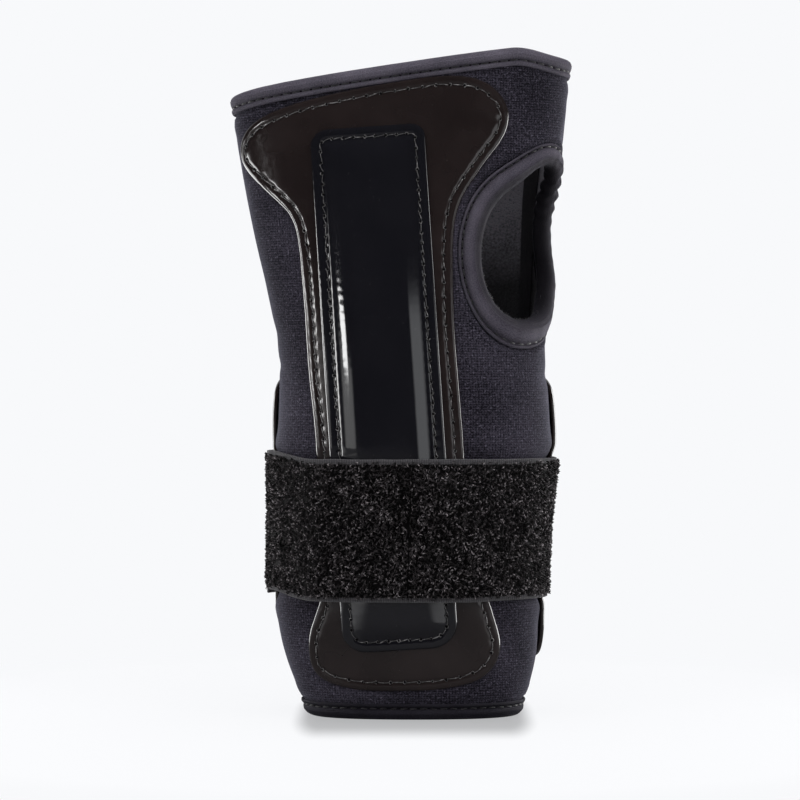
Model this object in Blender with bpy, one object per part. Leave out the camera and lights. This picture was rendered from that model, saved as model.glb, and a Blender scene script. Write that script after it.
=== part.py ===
"""Snowboard wrist guard, standing on its forearm opening.

Frame: metres, +Z up from the forearm opening to the finger opening, -Y is the back of the hand,
+Y the palm, +X the thumb side. The origin is on the floor plane under the forearm opening.

The design is laid out in millimetres on the sleeve's own skin. A point has an arc, the length
round the sleeve from the middle of the back of the hand towards the thumb, a height z, and a
stand-off from the skin. A share is an arc divided by the girth at its height, so 0 is the middle
of the back of the hand and 0.5 the middle of the palm. Arrays of (arc, z) points are called
outlines, loops or lines; a sheet is such points with triangles between them.
"""

import math
from functools import cache

import bpy
import numpy as np
from mathutils import Matrix, Vector
from mathutils.geometry import delaunay_2d_cdt

# ---------------------------------------------------------------- driving dimensions, mm
MM_PER_METRE = 1000
GAP = 0.35  # free space between the sleeve and the layers on it
STACK_GAP = 0.3  # free space under threads, covers, splints and crowns
REFERENCE_GIRTH = 235.0  # the girth to which lengths round the sleeve are scaled

# Sleeve: two neoprene panels
SLEEVE_WALL = 2.6
SLEEVE_EDGE = 1.7  # the panels stop this far inside the openings' edges
PANEL_SEAM_THUMB = 0.31  # shares at which the two panels meet
PANEL_SEAM_ULNAR = -PANEL_SEAM_THUMB
SEAM_GAP = 0.3  # between the panels at each seam
SEAM_TAPE_WIDTH = 6.0  # tapes bonded inside over the seams
SEAM_TAPE_THICK = 0.5
SEAM_TAPE_GAP = 0.55
FOREARM_ROW = 7.5  # height of the lowest inner row of mesh points
FIRST_ROW, ROW_PITCH = 16.0, 13.5

# Tapes folded over the edges of the openings
BINDING_DEPTH = 5.4  # how far they reach over the neoprene
FINGER_BINDING_DEPTH = BINDING_DEPTH + 0.4
THUMB_BINDING_DEPTH = 6.8
BINDING_TAPE = 0.7
FOLD_INSIDE = 1.3  # from the tape's outermost edge to the inside of its fold
FOLD_BEVEL = (0.9, 0.7)  # bevel of the fold: distance in, and distance across

# Patches, splint covers, splints and threads
PATCH_SHEET = 0.9
PATCH_STITCH = 3.1  # stitch line in from a patch's edge
PALM_PATCH_LIFT = 0.1  # extra free space under the palm patch
PALM_PATCH_REACH = 0.247  # share from the middle of the palm to the patch's sides
COVER_SHEET = 0.7
COVER_STITCH = 3.4  # stitch line in from the cover's edge
DORSAL_COVER_WIDTH = 38.6
PALM_COVER_WIDTH = 36.0
SPLINT_PLATE = 1.8
THREAD_RADIUS = 0.33
STITCH_PITCH = 6.0  # between a thread's points

# Strap
STRAP_WIDTH = 48.0  # two-inch loop elastic, a little narrower when pulled tight
STRAP_BOTTOM = 40.5
STRAP_TOP = STRAP_BOTTOM + STRAP_WIDTH
STRAP_THICK = 2.6  # webbing and pile
STRAP_GAP = 0.5  # between lengths, at the pivots
STRAP_BITE = 1.5  # how far the strap draws the sleeve's sides in
BITE_MARGINS = (3.5, 4.5)  # the bite starts this far below and ends this far above the strap
BITE_EASE = 7.0  # height over which the bite sets in
HOOK_THICK = 1.1
PIVOT_RISE = 0.15  # pivots stand this far off the strap's outer face

# Stations of the sleeve's section: z, centre x, half width, dorsal y, palmar y
STATIONS = [
    (0.0, 2.8, 35.8, -20.5, 20.5),
    (14.0, 2.2, 41.2, -22.6, 22.6),
    (38.0, 0.6, 45.0, -25.0, 24.8),
    (56.0, 0.9, 45.2, -26.0, 25.4),
    (74.0, 1.6, 45.8, -26.6, 25.6),
    (96.0, 2.8, 46.9, -27.0, 25.2),
    (123.0, 2.2, 45.8, -26.4, 23.2),
    (151.0, 0.3, 49.2, -24.4, 21.6),
    (179.0, -1.6, 53.3, -21.8, 22.0),
    (205.0, -2.0, 57.0, -19.6, 23.8),
    (232.0, -1.6, 58.0, -18.4, 26.0),
]
SQUARENESS = 2.5  # 2 is an ellipse
FRAME_SHIFT = np.array([1.5, 0.27, 0.0])  # brings the origin under the middle of the whole guard

RIM_HEIGHT = 222.6  # finger opening, over the middle of the hand
RIM_SECTION_Z = 222.0  # height of the section the rim is laid out on
RIM_SLOPE = 0.150  # it rises towards the index finger
# It turns down at the index and little finger ends: drop, |x| where it starts, width of the turn
INDEX_CORNER = (5.0, 36, 21)
LITTLE_CORNER = (2.2, 48, 12)
RIM_PALM_DROP = 1.0

THUMB_CENTRE = (44.6, 162.5)  # arc, z
THUMB_HALF = (18.0, 28.5)
THUMB_TILT = math.radians(19.0)
THUMB_POINTS = 34

# Hourglass patch on the back of the hand: (x, z) of the points its smooth edge runs through,
# wide over the knuckles, narrow at the wrist, round at the forearm.
DORSAL_PATCH = [
    (0.0, 10.0), (15.0, 11.0), (27.0, 15.0), (32.0, 25.0), (28.0, 41.0), (22.0, 66.0),
    (19.5, 92.0), (17.5, 118.0), (16.0, 145.0), (17.0, 171.0), (25.0, 186.0), (33.5, 198.0),
    (34.5, 208.0), (27.0, 216.0), (14.0, 218.0), (-8.0, 215.0), (-26.0, 211.5), (-44.0, 206.5),
    (-54.0, 200.0), (-55.5, 190.0), (-46.0, 178.0), (-37.5, 168.0), (-34.5, 145.0),
    (-32.5, 118.0), (-30.0, 92.0), (-28.5, 66.0), (-28.0, 43.0), (-32.5, 28.0), (-30.5, 15.5),
    (-18.0, 10.5),
]

# Name: base colour, roughness and clear coat
MATERIALS = {
    "neoprene": dict(colour=(0.030, 0.027, 0.036), roughness=0.85),
    "binding_tape": dict(colour=(0.028, 0.026, 0.034), roughness=0.8),
    "gloss_vinyl": dict(colour=(0.012, 0.010, 0.010), roughness=0.12, coat=0.6),
    "gloss_cover": dict(colour=(0.008, 0.008, 0.010), roughness=0.06, coat=1.0),
    "splint_plastic": dict(colour=(0.05, 0.05, 0.055), roughness=0.45),
    "thread": dict(colour=(0.18, 0.17, 0.17), roughness=0.7),
    "loop_pile": dict(colour=(0.016, 0.014, 0.015), roughness=0.95),
    "hook_tape": dict(colour=(0.012, 0.012, 0.013), roughness=0.6),
}


# ---------------------------------------------------------------- the sleeve's skin
def spline(stations, values):
    """Natural cubic through the values at the stations, as a function."""
    x, y = np.array(stations, float), np.array(values, float)
    count, step = len(x), np.diff(x)
    matrix = np.zeros((count, count))
    right_side = np.zeros(count)
    matrix[0, 0] = matrix[-1, -1] = 1.0
    for i in range(1, count - 1):
        matrix[i, i - 1] = step[i - 1]
        matrix[i, i] = 2 * (step[i - 1] + step[i])
        matrix[i, i + 1] = step[i]
        right_side[i] = 6 * ((y[i + 1] - y[i]) / step[i] - (y[i] - y[i - 1]) / step[i - 1])
    bend = np.linalg.solve(matrix, right_side)  # second derivatives

    def value(at):
        at = np.asarray(at, float)
        i = np.clip(np.searchsorted(x, at) - 1, 0, count - 2)
        ahead, behind = x[i + 1] - at, at - x[i]
        return (
            (bend[i] * ahead**3 + bend[i + 1] * behind**3) / (6 * step[i])
            + (y[i] / step[i] - bend[i] * step[i] / 6) * ahead
            + (y[i + 1] / step[i] - bend[i + 1] * step[i] / 6) * behind
        )

    return value


def ease(x):
    """Smooth step from 0 to 1."""
    x = np.clip(x, 0, 1)
    return x * x * (3 - 2 * x)


STATION_Z, *STATION_COLUMNS = zip(*STATIONS)
centre_x, free_half_width, dorsal_y, palmar_y = [spline(STATION_Z, c) for c in STATION_COLUMNS]


def half_width(z):
    """Half the section's width, less the strap's bite."""
    z = np.asarray(z, float)
    low, high = STRAP_BOTTOM - BITE_MARGINS[0], STRAP_TOP + BITE_MARGINS[1]
    bite = STRAP_BITE * ease((z - low) / BITE_EASE) * ease((high - z) / BITE_EASE)
    return free_half_width(z) - bite


def section(angle, z):
    """Point of the skin at a section angle: -90 degrees is the back of the hand, 0 the thumb."""
    cos, sin = np.cos(angle), np.sin(angle)
    power = 2.0 / SQUARENESS
    half_depth = (palmar_y(z) - dorsal_y(z)) / 2
    x = centre_x(z) + half_width(z) * np.sign(cos) * np.abs(cos) ** power
    y = (palmar_y(z) + dorsal_y(z)) / 2 + half_depth * np.sign(sin) * np.abs(sin) ** power
    return np.stack([x, y, np.broadcast_to(z, np.shape(x)) * 1.0], -1)


# Girth at a range of heights, and section angle over heights and shares
TABLE_STEP = 3.0
TABLE_Z = np.arange(-6.0, 243.0, TABLE_STEP)
TABLE_ANGLES = np.linspace(-1.5 * math.pi, 0.5 * math.pi, 1441)
SHARE_STEPS = 720
TABLE_SHARES = np.linspace(-0.5, 0.5, SHARE_STEPS + 1)


def measure_level(z):
    """Girth at a height, and the section angles there at the table's shares."""
    ring = section(TABLE_ANGLES, np.full(TABLE_ANGLES.shape, z))
    run = running_length(ring)
    middle = np.interp(-0.5 * math.pi, TABLE_ANGLES, run)
    shares = (run - middle) / run[-1]
    return run[-1], np.interp(TABLE_SHARES, shares, TABLE_ANGLES)


def running_length(points):
    """Length along a polyline up to each of its points."""
    return np.concatenate([[0], np.cumsum(np.linalg.norm(np.diff(points, axis=0), axis=1))])


GIRTH_TABLE, ANGLE_TABLE = [np.array(part) for part in zip(*map(measure_level, TABLE_Z))]


def girth(z):
    return np.interp(z, TABLE_Z, GIRTH_TABLE)


def angle_of(share, z):
    """Section angle for a share of the way round."""
    share = share - np.round(share)
    row = np.clip((z - TABLE_Z[0]) / TABLE_STEP, 0, len(TABLE_Z) - 1.001)
    column = np.clip((share + 0.5) * SHARE_STEPS, 0, SHARE_STEPS - 0.001)
    i, j = row.astype(int), column.astype(int)
    up, on = row - i, column - j
    low = ANGLE_TABLE[i, j] * (1 - on) + ANGLE_TABLE[i, j + 1] * on
    high = ANGLE_TABLE[i + 1, j] * (1 - on) + ANGLE_TABLE[i + 1, j + 1] * on
    return low * (1 - up) + high * up


def skin(line, stand_off):
    """Points in space of an (arc, z) line, standing off the skin, measured horizontally."""
    arc, z = line[:, 0], line[:, 1]
    angle = angle_of(arc / girth(z), z)
    points = section(angle, z)
    round_way = section(angle + 2e-3, z) - section(angle - 2e-3, z)
    normal = np.stack([round_way[:, 1], -round_way[:, 0], np.zeros(len(points))], -1)
    normal /= np.linalg.norm(normal, axis=1)[:, None]
    return points + normal * np.broadcast_to(stand_off, arc.shape)[:, None] + FRAME_SHIFT


def arc_of_x(x, z):
    """Arc at which the dorsal face reaches x."""
    angles = np.linspace(-math.pi, 0, 721)
    reached = section(angles, np.full(angles.shape, float(z)))[:, 0]
    angle = float(np.interp(x, reached, angles))
    level = int(round((z - TABLE_Z[0]) / TABLE_STEP))
    return float(np.interp(angle, ANGLE_TABLE[level], TABLE_SHARES)) * float(girth(z))


def rim_z(share):
    """Height of the finger opening at a share of the way round."""
    share = np.atleast_1d(np.asarray(share, float))
    level = np.full(share.size, RIM_SECTION_Z)
    x, y, _ = section(angle_of(share, level), level).T
    half_depth = (palmar_y(RIM_SECTION_Z) - dorsal_y(RIM_SECTION_Z)) / 2
    middle = (palmar_y(RIM_SECTION_Z) + dorsal_y(RIM_SECTION_Z)) / 2
    corners = 0.0
    for (drop, start, width), reach in ((INDEX_CORNER, x), (LITTLE_CORNER, -x)):
        corners = corners + drop * ease((reach - start) / width)
    palm_drop = RIM_PALM_DROP * (1 + (y - middle) / half_depth)
    return RIM_HEIGHT + RIM_SLOPE * x - corners - palm_drop


# ---------------------------------------------------------------- loops in (arc, z)
def even(loop, pitch):
    """The closed loop resampled at an even pitch."""
    points = np.array(loop, float)
    points = np.vstack([points, points[:1]])
    run = running_length(points)
    count = max(3, int(round(run[-1] / pitch)))
    at = np.linspace(0, run[-1], count + 1)[:-1]
    return np.stack([np.interp(at, run, points[:, k]) for k in range(2)], -1)


def smooth_loop(points):
    """Closed Catmull-Rom curve through the points."""
    points = np.array(points, float)
    count, per_span, out = len(points), 8, []
    for i in range(count):
        before, start = points[i - 1], points[i]
        end, after = points[(i + 1) % count], points[(i + 2) % count]
        for k in range(per_span):
            f = k / per_span
            square = 2 * before - 5 * start + 4 * end - after
            cube = 3 * start - before - 3 * end + after
            out.append(0.5 * (2 * start + (end - before) * f + square * f**2 + cube * f**3))
    return np.array(out)


def unit(vectors):
    return vectors / np.linalg.norm(vectors, axis=1)[:, None]


def inset(loop, distance):
    """A counter-clockwise loop moved inwards."""
    ahead, behind = np.roll(loop, -1, 0) - loop, loop - np.roll(loop, 1, 0)
    way = unit(unit(ahead) + unit(behind))
    return loop + np.stack([-way[:, 1], way[:, 0]], -1) * distance


def bar(low, high, width, radii, drawn_in):
    """Counter-clockwise bar from low to high, drawn in by a distance.

    The radii are those of its low right, high right, high left and low left corners.
    """
    low, high = np.array(low, float), np.array(high, float)
    along = (high - low) / np.linalg.norm(high - low)
    right = np.array([along[1], -along[0]])
    half, steps, out = width / 2 - drawn_in, 5, []
    # end of the bar, side, way into the bar, angle at which the corner starts
    corners = [(low, 1, 1, -90), (high, 1, -1, 0), (high, -1, -1, 90), (low, -1, 1, 180)]
    for (end, side, way, start), full_radius in zip(corners, radii, strict=True):
        radius = max(full_radius - drawn_in, 1.5)
        centre = end + way * along * (drawn_in + radius) + right * side * (half - radius)
        for k in range(steps + 1):
            angle = math.radians(start + 90 * k / steps)
            out.append(centre + radius * (math.cos(angle) * right + math.sin(angle) * along))
    return np.array(out)


def thumb_oval(grown):
    """The thumb opening's edge, grown by a distance into the fabric."""
    angles = np.linspace(0, 2 * math.pi, THUMB_POINTS, endpoint=False)
    x = (THUMB_HALF[0] + grown) * np.cos(angles)
    z = (THUMB_HALF[1] + grown) * np.sin(angles)
    cos, sin = math.cos(THUMB_TILT), math.sin(THUMB_TILT)
    return np.stack([THUMB_CENTRE[0] + x * cos + z * sin, THUMB_CENTRE[1] - x * sin + z * cos], -1)


def at_shares(shares, z):
    """Line through shares of the way round at heights z."""
    shares, z = np.broadcast_arrays(shares, z)
    return np.stack([shares * girth(z), z], -1)


def outline_on_back(points):
    """Outline given by (x, z) on the dorsal face, as a loop in (arc, z)."""
    return np.array([(arc_of_x(x, z), z) for x, z in points])


def outline_on_palm(points):
    """Outline given by (arc from the middle of the palm, z), as a loop in (arc, z)."""
    return np.array([(x + float(girth(z)) / 2, z) for x, z in points])


def inside(points, loop):
    """Which points lie inside the loop."""
    x, y = points[:, 0][:, None], points[:, 1][:, None]
    start_x, start_y = loop[:, 0][None], loop[:, 1][None]
    end_x, end_y = np.roll(loop[:, 0], -1)[None], np.roll(loop[:, 1], -1)[None]
    edge_x = (end_x - start_x) * (y - start_y) / (end_y - start_y + 1e-12) + start_x
    crosses = ((start_y > y) != (end_y > y)) & (x < edge_x)
    return crosses.sum(1) % 2 == 1


def far_from(points, loop, distance):
    """Which points are further than a distance from all the loop's points."""
    return np.linalg.norm(points[:, None] - loop[None], axis=2).min(1) > distance


# ---------------------------------------------------------------- sheets
# Columns round the sleeve, as shares: close together where the section turns tightly, and at
# the seam tapes' edges.
SEAM_TAPE_HALF = SEAM_TAPE_WIDTH / 2 / REFERENCE_GIRTH
HALF_COLUMNS = np.array([
    0, 0.045, 0.09, 0.13, 0.163, 0.19, 0.212, 0.232, 0.25, 0.268, 0.288, PANEL_SEAM_THUMB,
    0.337, 0.37, 0.41, 0.455, PANEL_SEAM_THUMB - SEAM_TAPE_HALF, PANEL_SEAM_THUMB + SEAM_TAPE_HALF,
])
COLUMNS = np.unique(np.round(np.concatenate([-HALF_COLUMNS, HALF_COLUMNS, [0.5]]), 4))
WRAPPED_COLUMNS = np.concatenate([COLUMNS - 1, COLUMNS, COLUMNS + 1])


def on_columns(loop):
    """The loop with a point added wherever it crosses a column, unless close to another."""
    apart, out = 1.0, []
    for start, end in zip(loop, np.roll(loop, -1, 0), strict=True):
        out.append(start)
        first, last = start[0] / girth(start[1]), end[0] / girth(end[1])
        low, high = min(first, last), max(first, last)
        cuts = [(c - first) / (last - first) for c in WRAPPED_COLUMNS if low < c < high]
        for cut in sorted(cuts):
            point = start + (end - start) * cut
            clear_behind = np.linalg.norm(point - out[-1]) > apart
            if clear_behind and np.linalg.norm(point - end) > apart:
                out.append(point)
    return np.array(out)


def filling(loop, rows, clear):
    """Points inside the loop on the sleeve's columns and the given rows, clear of the loop."""
    z = np.repeat(np.array(rows, float), len(WRAPPED_COLUMNS))
    points = at_shares(np.tile(WRAPPED_COLUMNS, len(rows)), z)
    points = points[inside(points, loop)]
    return points[far_from(points, loop, clear)]


def fill_sheet(loops, points, keep):
    """Sheet between the loops, with the extra points in it and the triangles whose middles keep.

    The triangles are found with every height stretched to one girth, so columns stay upright.
    """
    coords, edges = [], []

    def stretched(line):
        arcs = line[:, 0] * REFERENCE_GIRTH / girth(line[:, 1])
        return [Vector((float(arc), float(z))) for arc, z in zip(arcs, line[:, 1])]

    for loop in loops:
        first = len(coords)
        coords += stretched(loop)
        edges += [(first + i, first + (i + 1) % len(loop)) for i in range(len(loop))]
    coords += stretched(points)
    found = delaunay_2d_cdt(coords, edges, [], 1, 1e-5)
    flat = np.array([list(v) for v in found[0]])
    flat[:, 0] *= girth(flat[:, 1]) / REFERENCE_GIRTH
    triangles = np.array([list(f) for f in found[2]])
    triangles = triangles[keep(flat[triangles].mean(1))]

    # Turn them all counter-clockwise, then drop the unused points.
    corner = flat[triangles[:, 0]]
    one, two = flat[triangles[:, 1]] - corner, flat[triangles[:, 2]] - corner
    clockwise = one[:, 0] * two[:, 1] - one[:, 1] * two[:, 0] < 0
    triangles[clockwise] = triangles[clockwise][:, ::-1]
    used = np.unique(triangles)
    new_index = np.full(len(flat), -1)
    new_index[used] = np.arange(len(used))
    return flat[used], new_index[triangles]


def loop_sheet(loop, rows, clear):
    """Sheet filling one loop."""
    return fill_sheet([loop], filling(loop, rows, clear), lambda middles: inside(middles, loop))


def grid_sheet(shares, rows):
    """Sheet of columns at shares of the way round and rows at heights."""
    points = np.array([(share, z) for z in rows for share in shares], float)
    points[:, 0] *= girth(points[:, 1])
    width, triangles = len(shares), []
    for row in range(len(rows) - 1):
        for column in range(width - 1):
            a = row * width + column
            triangles += [(a, a + 1, a + width + 1), (a, a + width + 1, a + width)]
    return points, np.array(triangles)


# ---------------------------------------------------------------- Blender objects
@cache
def material(name):
    """The named material, made when it is first used."""
    return make_material(name, **MATERIALS[name])


def make_material(name, colour, roughness, coat=0.0):
    made = bpy.data.materials.new(name)
    made.use_nodes = True
    shader = made.node_tree.nodes["Principled BSDF"]
    shader.inputs["Base Color"].default_value = (*colour, 1)
    shader.inputs["Roughness"].default_value = roughness
    shader.inputs["Coat Weight"].default_value = coat
    made.diffuse_color = (*colour, 1)
    return made


def place(name, data, finish, parent):
    """Link an object with its material; under a parent, its origin is the parent's."""
    obj = bpy.data.objects.new(name, data)
    data.materials.append(material(finish))
    bpy.context.scene.collection.objects.link(obj)
    if parent is not None:
        bpy.context.view_layer.update()
        obj.parent = parent
        data.transform(Matrix.Translation(-parent.matrix_world.translation))


def mesh_object(name, points_mm, faces, finish, parent=None):
    mesh = bpy.data.meshes.new(name)
    points = [tuple(float(c) / MM_PER_METRE for c in point) for point in points_mm]
    mesh.from_pydata(points, [], [tuple(map(int, face)) for face in faces])
    mesh.validate()
    mesh.shade_smooth()
    mesh.set_sharp_from_angle(angle=math.radians(40))
    place(name, mesh, finish, parent)


def slab(name, sheet, low, high, finish, parent=None):
    """A solid on the skin, filling the sheet's region between two stand-offs.

    Each stand-off is a number or a function of the sheet's points.
    """
    points, triangles = sheet
    outer = skin(points, high(points) if callable(high) else high)
    inner = skin(points, low(points) if callable(low) else low)
    count = len(points)
    sides = np.concatenate([triangles[:, [0, 1]], triangles[:, [1, 2]], triangles[:, [2, 0]]])
    edges = {tuple(edge) for edge in sides.tolist()}
    rim = [(a, b) for a, b in edges if (b, a) not in edges]
    faces = triangles.tolist() + (triangles[:, ::-1] + count).tolist()
    faces += [(b, a, a + count, b + count) for a, b in rim]
    mesh_object(name, np.vstack([outer, inner]), faces, finish, parent)


def channel(name, loop_at, profile, finish):
    """A closed ring of constant section.

    loop_at gives its loop at a distance into the fabric; profile lists (distance in, stand-off).
    """
    width = len(profile)
    points = np.stack([skin(loop_at(depth), off) for depth, off in profile], 1)
    count = len(points)
    faces = []
    for i in range(count):
        j = (i + 1) % count
        for a in range(width):
            b = (a + 1) % width
            faces.append((i * width + a, j * width + a, j * width + b, i * width + b))
    mesh_object(name, points.reshape(-1, 3), faces, finish)


def stitch(name, line, surface, parent=None):
    """A sewing thread: a round closed curve along the line, just clear of a surface's stand-off."""
    points_mm = skin(line, surface + STACK_GAP + THREAD_RADIUS)
    curve = bpy.data.curves.new(name, "CURVE")
    curve.dimensions = "3D"
    curve.bevel_depth = THREAD_RADIUS / MM_PER_METRE
    curve.bevel_resolution = 0
    path = curve.splines.new("POLY")
    path.points.add(len(points_mm) - 1)
    for knot, point in zip(path.points, points_mm, strict=True):
        knot.co = (*[float(c) / MM_PER_METRE for c in point], 1)
    path.use_cyclic_u = True
    place(name, curve, "thread", parent)


# ---------------------------------------------------------------- sleeve
def sleeve_panel(name, start, end, thumb_opening):
    """One neoprene panel between two seams, given as shares.

    It runs from inside the forearm binding to inside the finger binding.
    """
    rim_row = 8.0  # the highest inner row's distance below the rim
    shares = np.concatenate([COLUMNS, COLUMNS + 1])
    shares = shares[(start + 0.006 < shares) & (shares < end - 0.006)]
    shares = np.concatenate([[start], shares, [end]])
    top = at_shares(shares, rim_z(shares) - SLEEVE_EDGE)
    under_top = at_shares(shares, rim_z(shares) - rim_row)
    bottom = at_shares(shares, SLEEVE_EDGE)
    over_bottom = at_shares(shares, FOREARM_ROW)
    rows = np.arange(FIRST_ROW, 210.0, ROW_PITCH)

    def side(share):
        rim = rim_z(share)
        return at_shares(share, np.concatenate([[FOREARM_ROW], rows[rows < rim - 12.0], rim - rim_row]))

    loop = np.vstack([bottom, side(end), top[::-1], side(start)[::-1]])
    points = filling(loop, rows, 2.3)
    points = points[points[:, 1] < rim_z(points[:, 0] / girth(points[:, 1])) - 11.0]
    points = np.vstack([points, under_top[1:-1], over_bottom[1:-1]])

    rings = []
    if thumb_opening:
        rings = [thumb_oval(grown) for grown in (SLEEVE_EDGE, 5.0, 8.5)]
        points = points[~inside(points, rings[-1]) & far_from(points, rings[-1], 3.0)]

    def keep(middles):
        return ~inside(middles, rings[0]) if rings else np.ones(len(middles), bool)

    slab(name, fill_sheet([loop] + rings, points, keep), -SLEEVE_WALL, 0.0, "neoprene")


def build_sleeve():
    """The dorsal panel, which has the thumb opening, and the palm panel."""
    sleeve_panel("sleeve_dorsal_panel", PANEL_SEAM_ULNAR, PANEL_SEAM_THUMB, True)
    gap = SEAM_GAP / REFERENCE_GIRTH
    sleeve_panel("sleeve_palm_panel", PANEL_SEAM_THUMB + gap, 1 + PANEL_SEAM_ULNAR - gap, False)


def build_seam_tapes():
    """Tapes bonded inside, over the two panel seams."""
    high = -SLEEVE_WALL - SEAM_TAPE_GAP
    for side, seam in (("ulnar", PANEL_SEAM_ULNAR), ("thumb_side", PANEL_SEAM_THUMB)):
        middle_rows = np.arange(FIRST_ROW, 193.0, ROW_PITCH)
        rows = np.concatenate([[FOREARM_ROW], middle_rows, rim_z(seam) - 9.0])
        sheet = grid_sheet([seam - SEAM_TAPE_HALF, seam, seam + SEAM_TAPE_HALF], rows)
        slab(f"{side}_seam_tape", sheet, high - SEAM_TAPE_THICK, high, "binding_tape")


# ---------------------------------------------------------------- bindings
def folded_profile(depth):
    """Section of a tape folded over the neoprene's edge, from the outer flange to the inner."""
    outer, inner = GAP, -SLEEVE_WALL - GAP
    bevel_in, bevel_across = FOLD_BEVEL
    return [
        (depth, outer),
        (FOLD_INSIDE, outer),
        (FOLD_INSIDE, inner),
        (depth, inner),
        (depth, inner - BINDING_TAPE),
        (bevel_in, inner - BINDING_TAPE),
        (0.0, inner + bevel_across),
        (0.0, outer - bevel_across),
        (bevel_in, outer + BINDING_TAPE),
        (depth, outer + BINDING_TAPE),
    ]


def forearm_ring(depth):
    return at_shares(COLUMNS, depth)


def finger_ring(depth):
    return at_shares(COLUMNS, rim_z(COLUMNS) - depth)


def build_bindings():
    """Folded tapes round the three openings, and the threads that hold them."""
    # Opening, its ring at a depth, direction that turns the faces out, tape and stitch depths
    bindings = [
        ("forearm", forearm_ring, 1, BINDING_DEPTH, BINDING_DEPTH - 1.0),
        ("finger", finger_ring, -1, FINGER_BINDING_DEPTH, BINDING_DEPTH - 0.8),
        ("thumb", thumb_oval, -1, THUMB_BINDING_DEPTH, THUMB_BINDING_DEPTH - 1.0),
    ]
    for opening, ring, way, depth, stitch_depth in bindings:
        channel(
            f"{opening}_opening_binding",
            lambda distance: ring(distance)[::way],
            folded_profile(depth),
            "binding_tape",
        )
        stitch(f"{opening}_binding_thread", ring(stitch_depth), GAP + BINDING_TAPE)


# ---------------------------------------------------------------- patches and splints
def stitched_patch(side, outline, pitch, rows, clear, low, rise=lambda points: 0.0):
    """Patch sheet and its thread; rise adds to its stand-off. Returns its outer stand-off."""
    high = low + PATCH_SHEET
    slab(
        f"{side}_patch",
        loop_sheet(on_columns(even(outline, pitch)), rows, clear),
        lambda points: low + rise(points),
        lambda points: high + rise(points),
        "gloss_vinyl",
    )
    line = even(inset(even(outline, 2.0), PATCH_STITCH), STITCH_PITCH)
    stitch(f"{side}_patch_thread", line, high + rise(line))
    return high


def splint_and_cover(side, cover, base, rows):
    """Cover stitched over a splint: a flat flange round a crown that stands over the plate.

    cover gives the cover's outline drawn in by a distance; base is the patch's outer stand-off.
    """
    low = base + STACK_GAP
    crown = cover(COVER_STITCH + 2.6)

    def cover_loop(drawn_in):
        return on_columns(even(cover(drawn_in), 6.5))

    def cover_low(points):
        return low + np.where(inside(points, crown), SPLINT_PLATE + STACK_GAP, 0.0)

    edge = cover_loop(0.0)
    foot = cover_loop(COVER_STITCH + 0.9)
    brow = cover_loop(COVER_STITCH + 2.9)
    slab(
        f"{side}_splint_cover",
        fill_sheet([edge, foot, brow], filling(brow, rows, 3.0), lambda m: inside(m, edge)),
        cover_low,
        lambda points: cover_low(points) + COVER_SHEET,
        "gloss_cover",
    )
    plate = loop_sheet(cover_loop(COVER_STITCH + 4.0), rows, 3.0)
    slab(f"{side}_splint", plate, low, low + SPLINT_PLATE, "splint_plastic")
    line = even(cover(COVER_STITCH), STITCH_PITCH)
    stitch(f"{side}_cover_thread", line, low + COVER_SHEET)


def build_dorsal_side():
    """Hourglass patch, with a splint leaning towards the little finger as it rises."""
    rows = np.arange(20.0, 215.0, 13.0)
    outline = smooth_loop(outline_on_back(DORSAL_PATCH))
    patch_high = stitched_patch("dorsal", outline, 7.0, rows, 3.4, GAP)

    def cover(drawn_in):
        low, high = (-1.5, 24.0), (-13.0, 200.5)
        flat = bar(low, high, DORSAL_COVER_WIDTH, (9.0, 4.5, 6.0, 8.0), drawn_in)
        return outline_on_back(even(flat, 1.5))

    splint_and_cover("dorsal", cover, patch_high, rows)


def palm_patch_outline():
    """Outline of the palm patch, alike on both sides and reaching round to the wrist's sides."""
    reach = PALM_PATCH_REACH
    # (arc from the middle of the palm, z), up one side
    half = [
        (0.0, 19.5), (30.0, 19.5), (44.0, 20.5),
        (reach * girth(30) - 1, 30.0), (reach * girth(50), 50.0), (reach * girth(75), 75.0),
        (reach * girth(100), 100.0), (reach * girth(112) - 2, 112.5),
        (43.0, 119.0), (31.0, 123.5), (24.5, 132.0), (22.0, 145.0), (23.0, 160.0),
        (27.5, 173.0), (28.0, 184.0), (21.0, 192.5),
    ]
    other_half = [(-x, z) for x, z in reversed(half[1:])]
    return smooth_loop(outline_on_palm(half + [(0.0, 195.0)] + other_half))


def palm_rise(points):
    """The palm patch's side edges spring a little off the sleeve."""
    start, width, height = 0.20, 0.047, 0.55  # shares from the middle of the palm, then mm
    from_middle = np.abs(points[:, 0] / girth(points[:, 1]) - 0.5)
    return np.clip((from_middle - start) / width, 0, 1) ** 2 * height


def build_palm_side():
    """Wide patch, with a straight splint up its middle."""
    rows = np.arange(29.5, 190.0, 13.5)
    low = GAP + PALM_PATCH_LIFT
    patch_high = stitched_patch("palm", palm_patch_outline(), 6.0, rows, 2.4, low, palm_rise)

    def cover(drawn_in):
        flat = bar((0.0, 27.0), (0.0, 184.0), PALM_COVER_WIDTH, (8.0,) * 4, drawn_in)
        return outline_on_palm(even(flat, 1.5))

    splint_and_cover("palm", cover, patch_high, np.arange(33.0, 184.0, 13.0))


# ---------------------------------------------------------------- the strap
# Shares of its ends and pivots. It goes from the sewn end on the palm, over the little-finger
# side, the back of the hand and the thumb side, and back across the palm over the sewn end.
ANCHOR, ULNAR, THUMB_FRONT, THUMB_BACK, TAB, END = -0.418, -0.238, 0.185, 0.325, 0.56, 0.70
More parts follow.
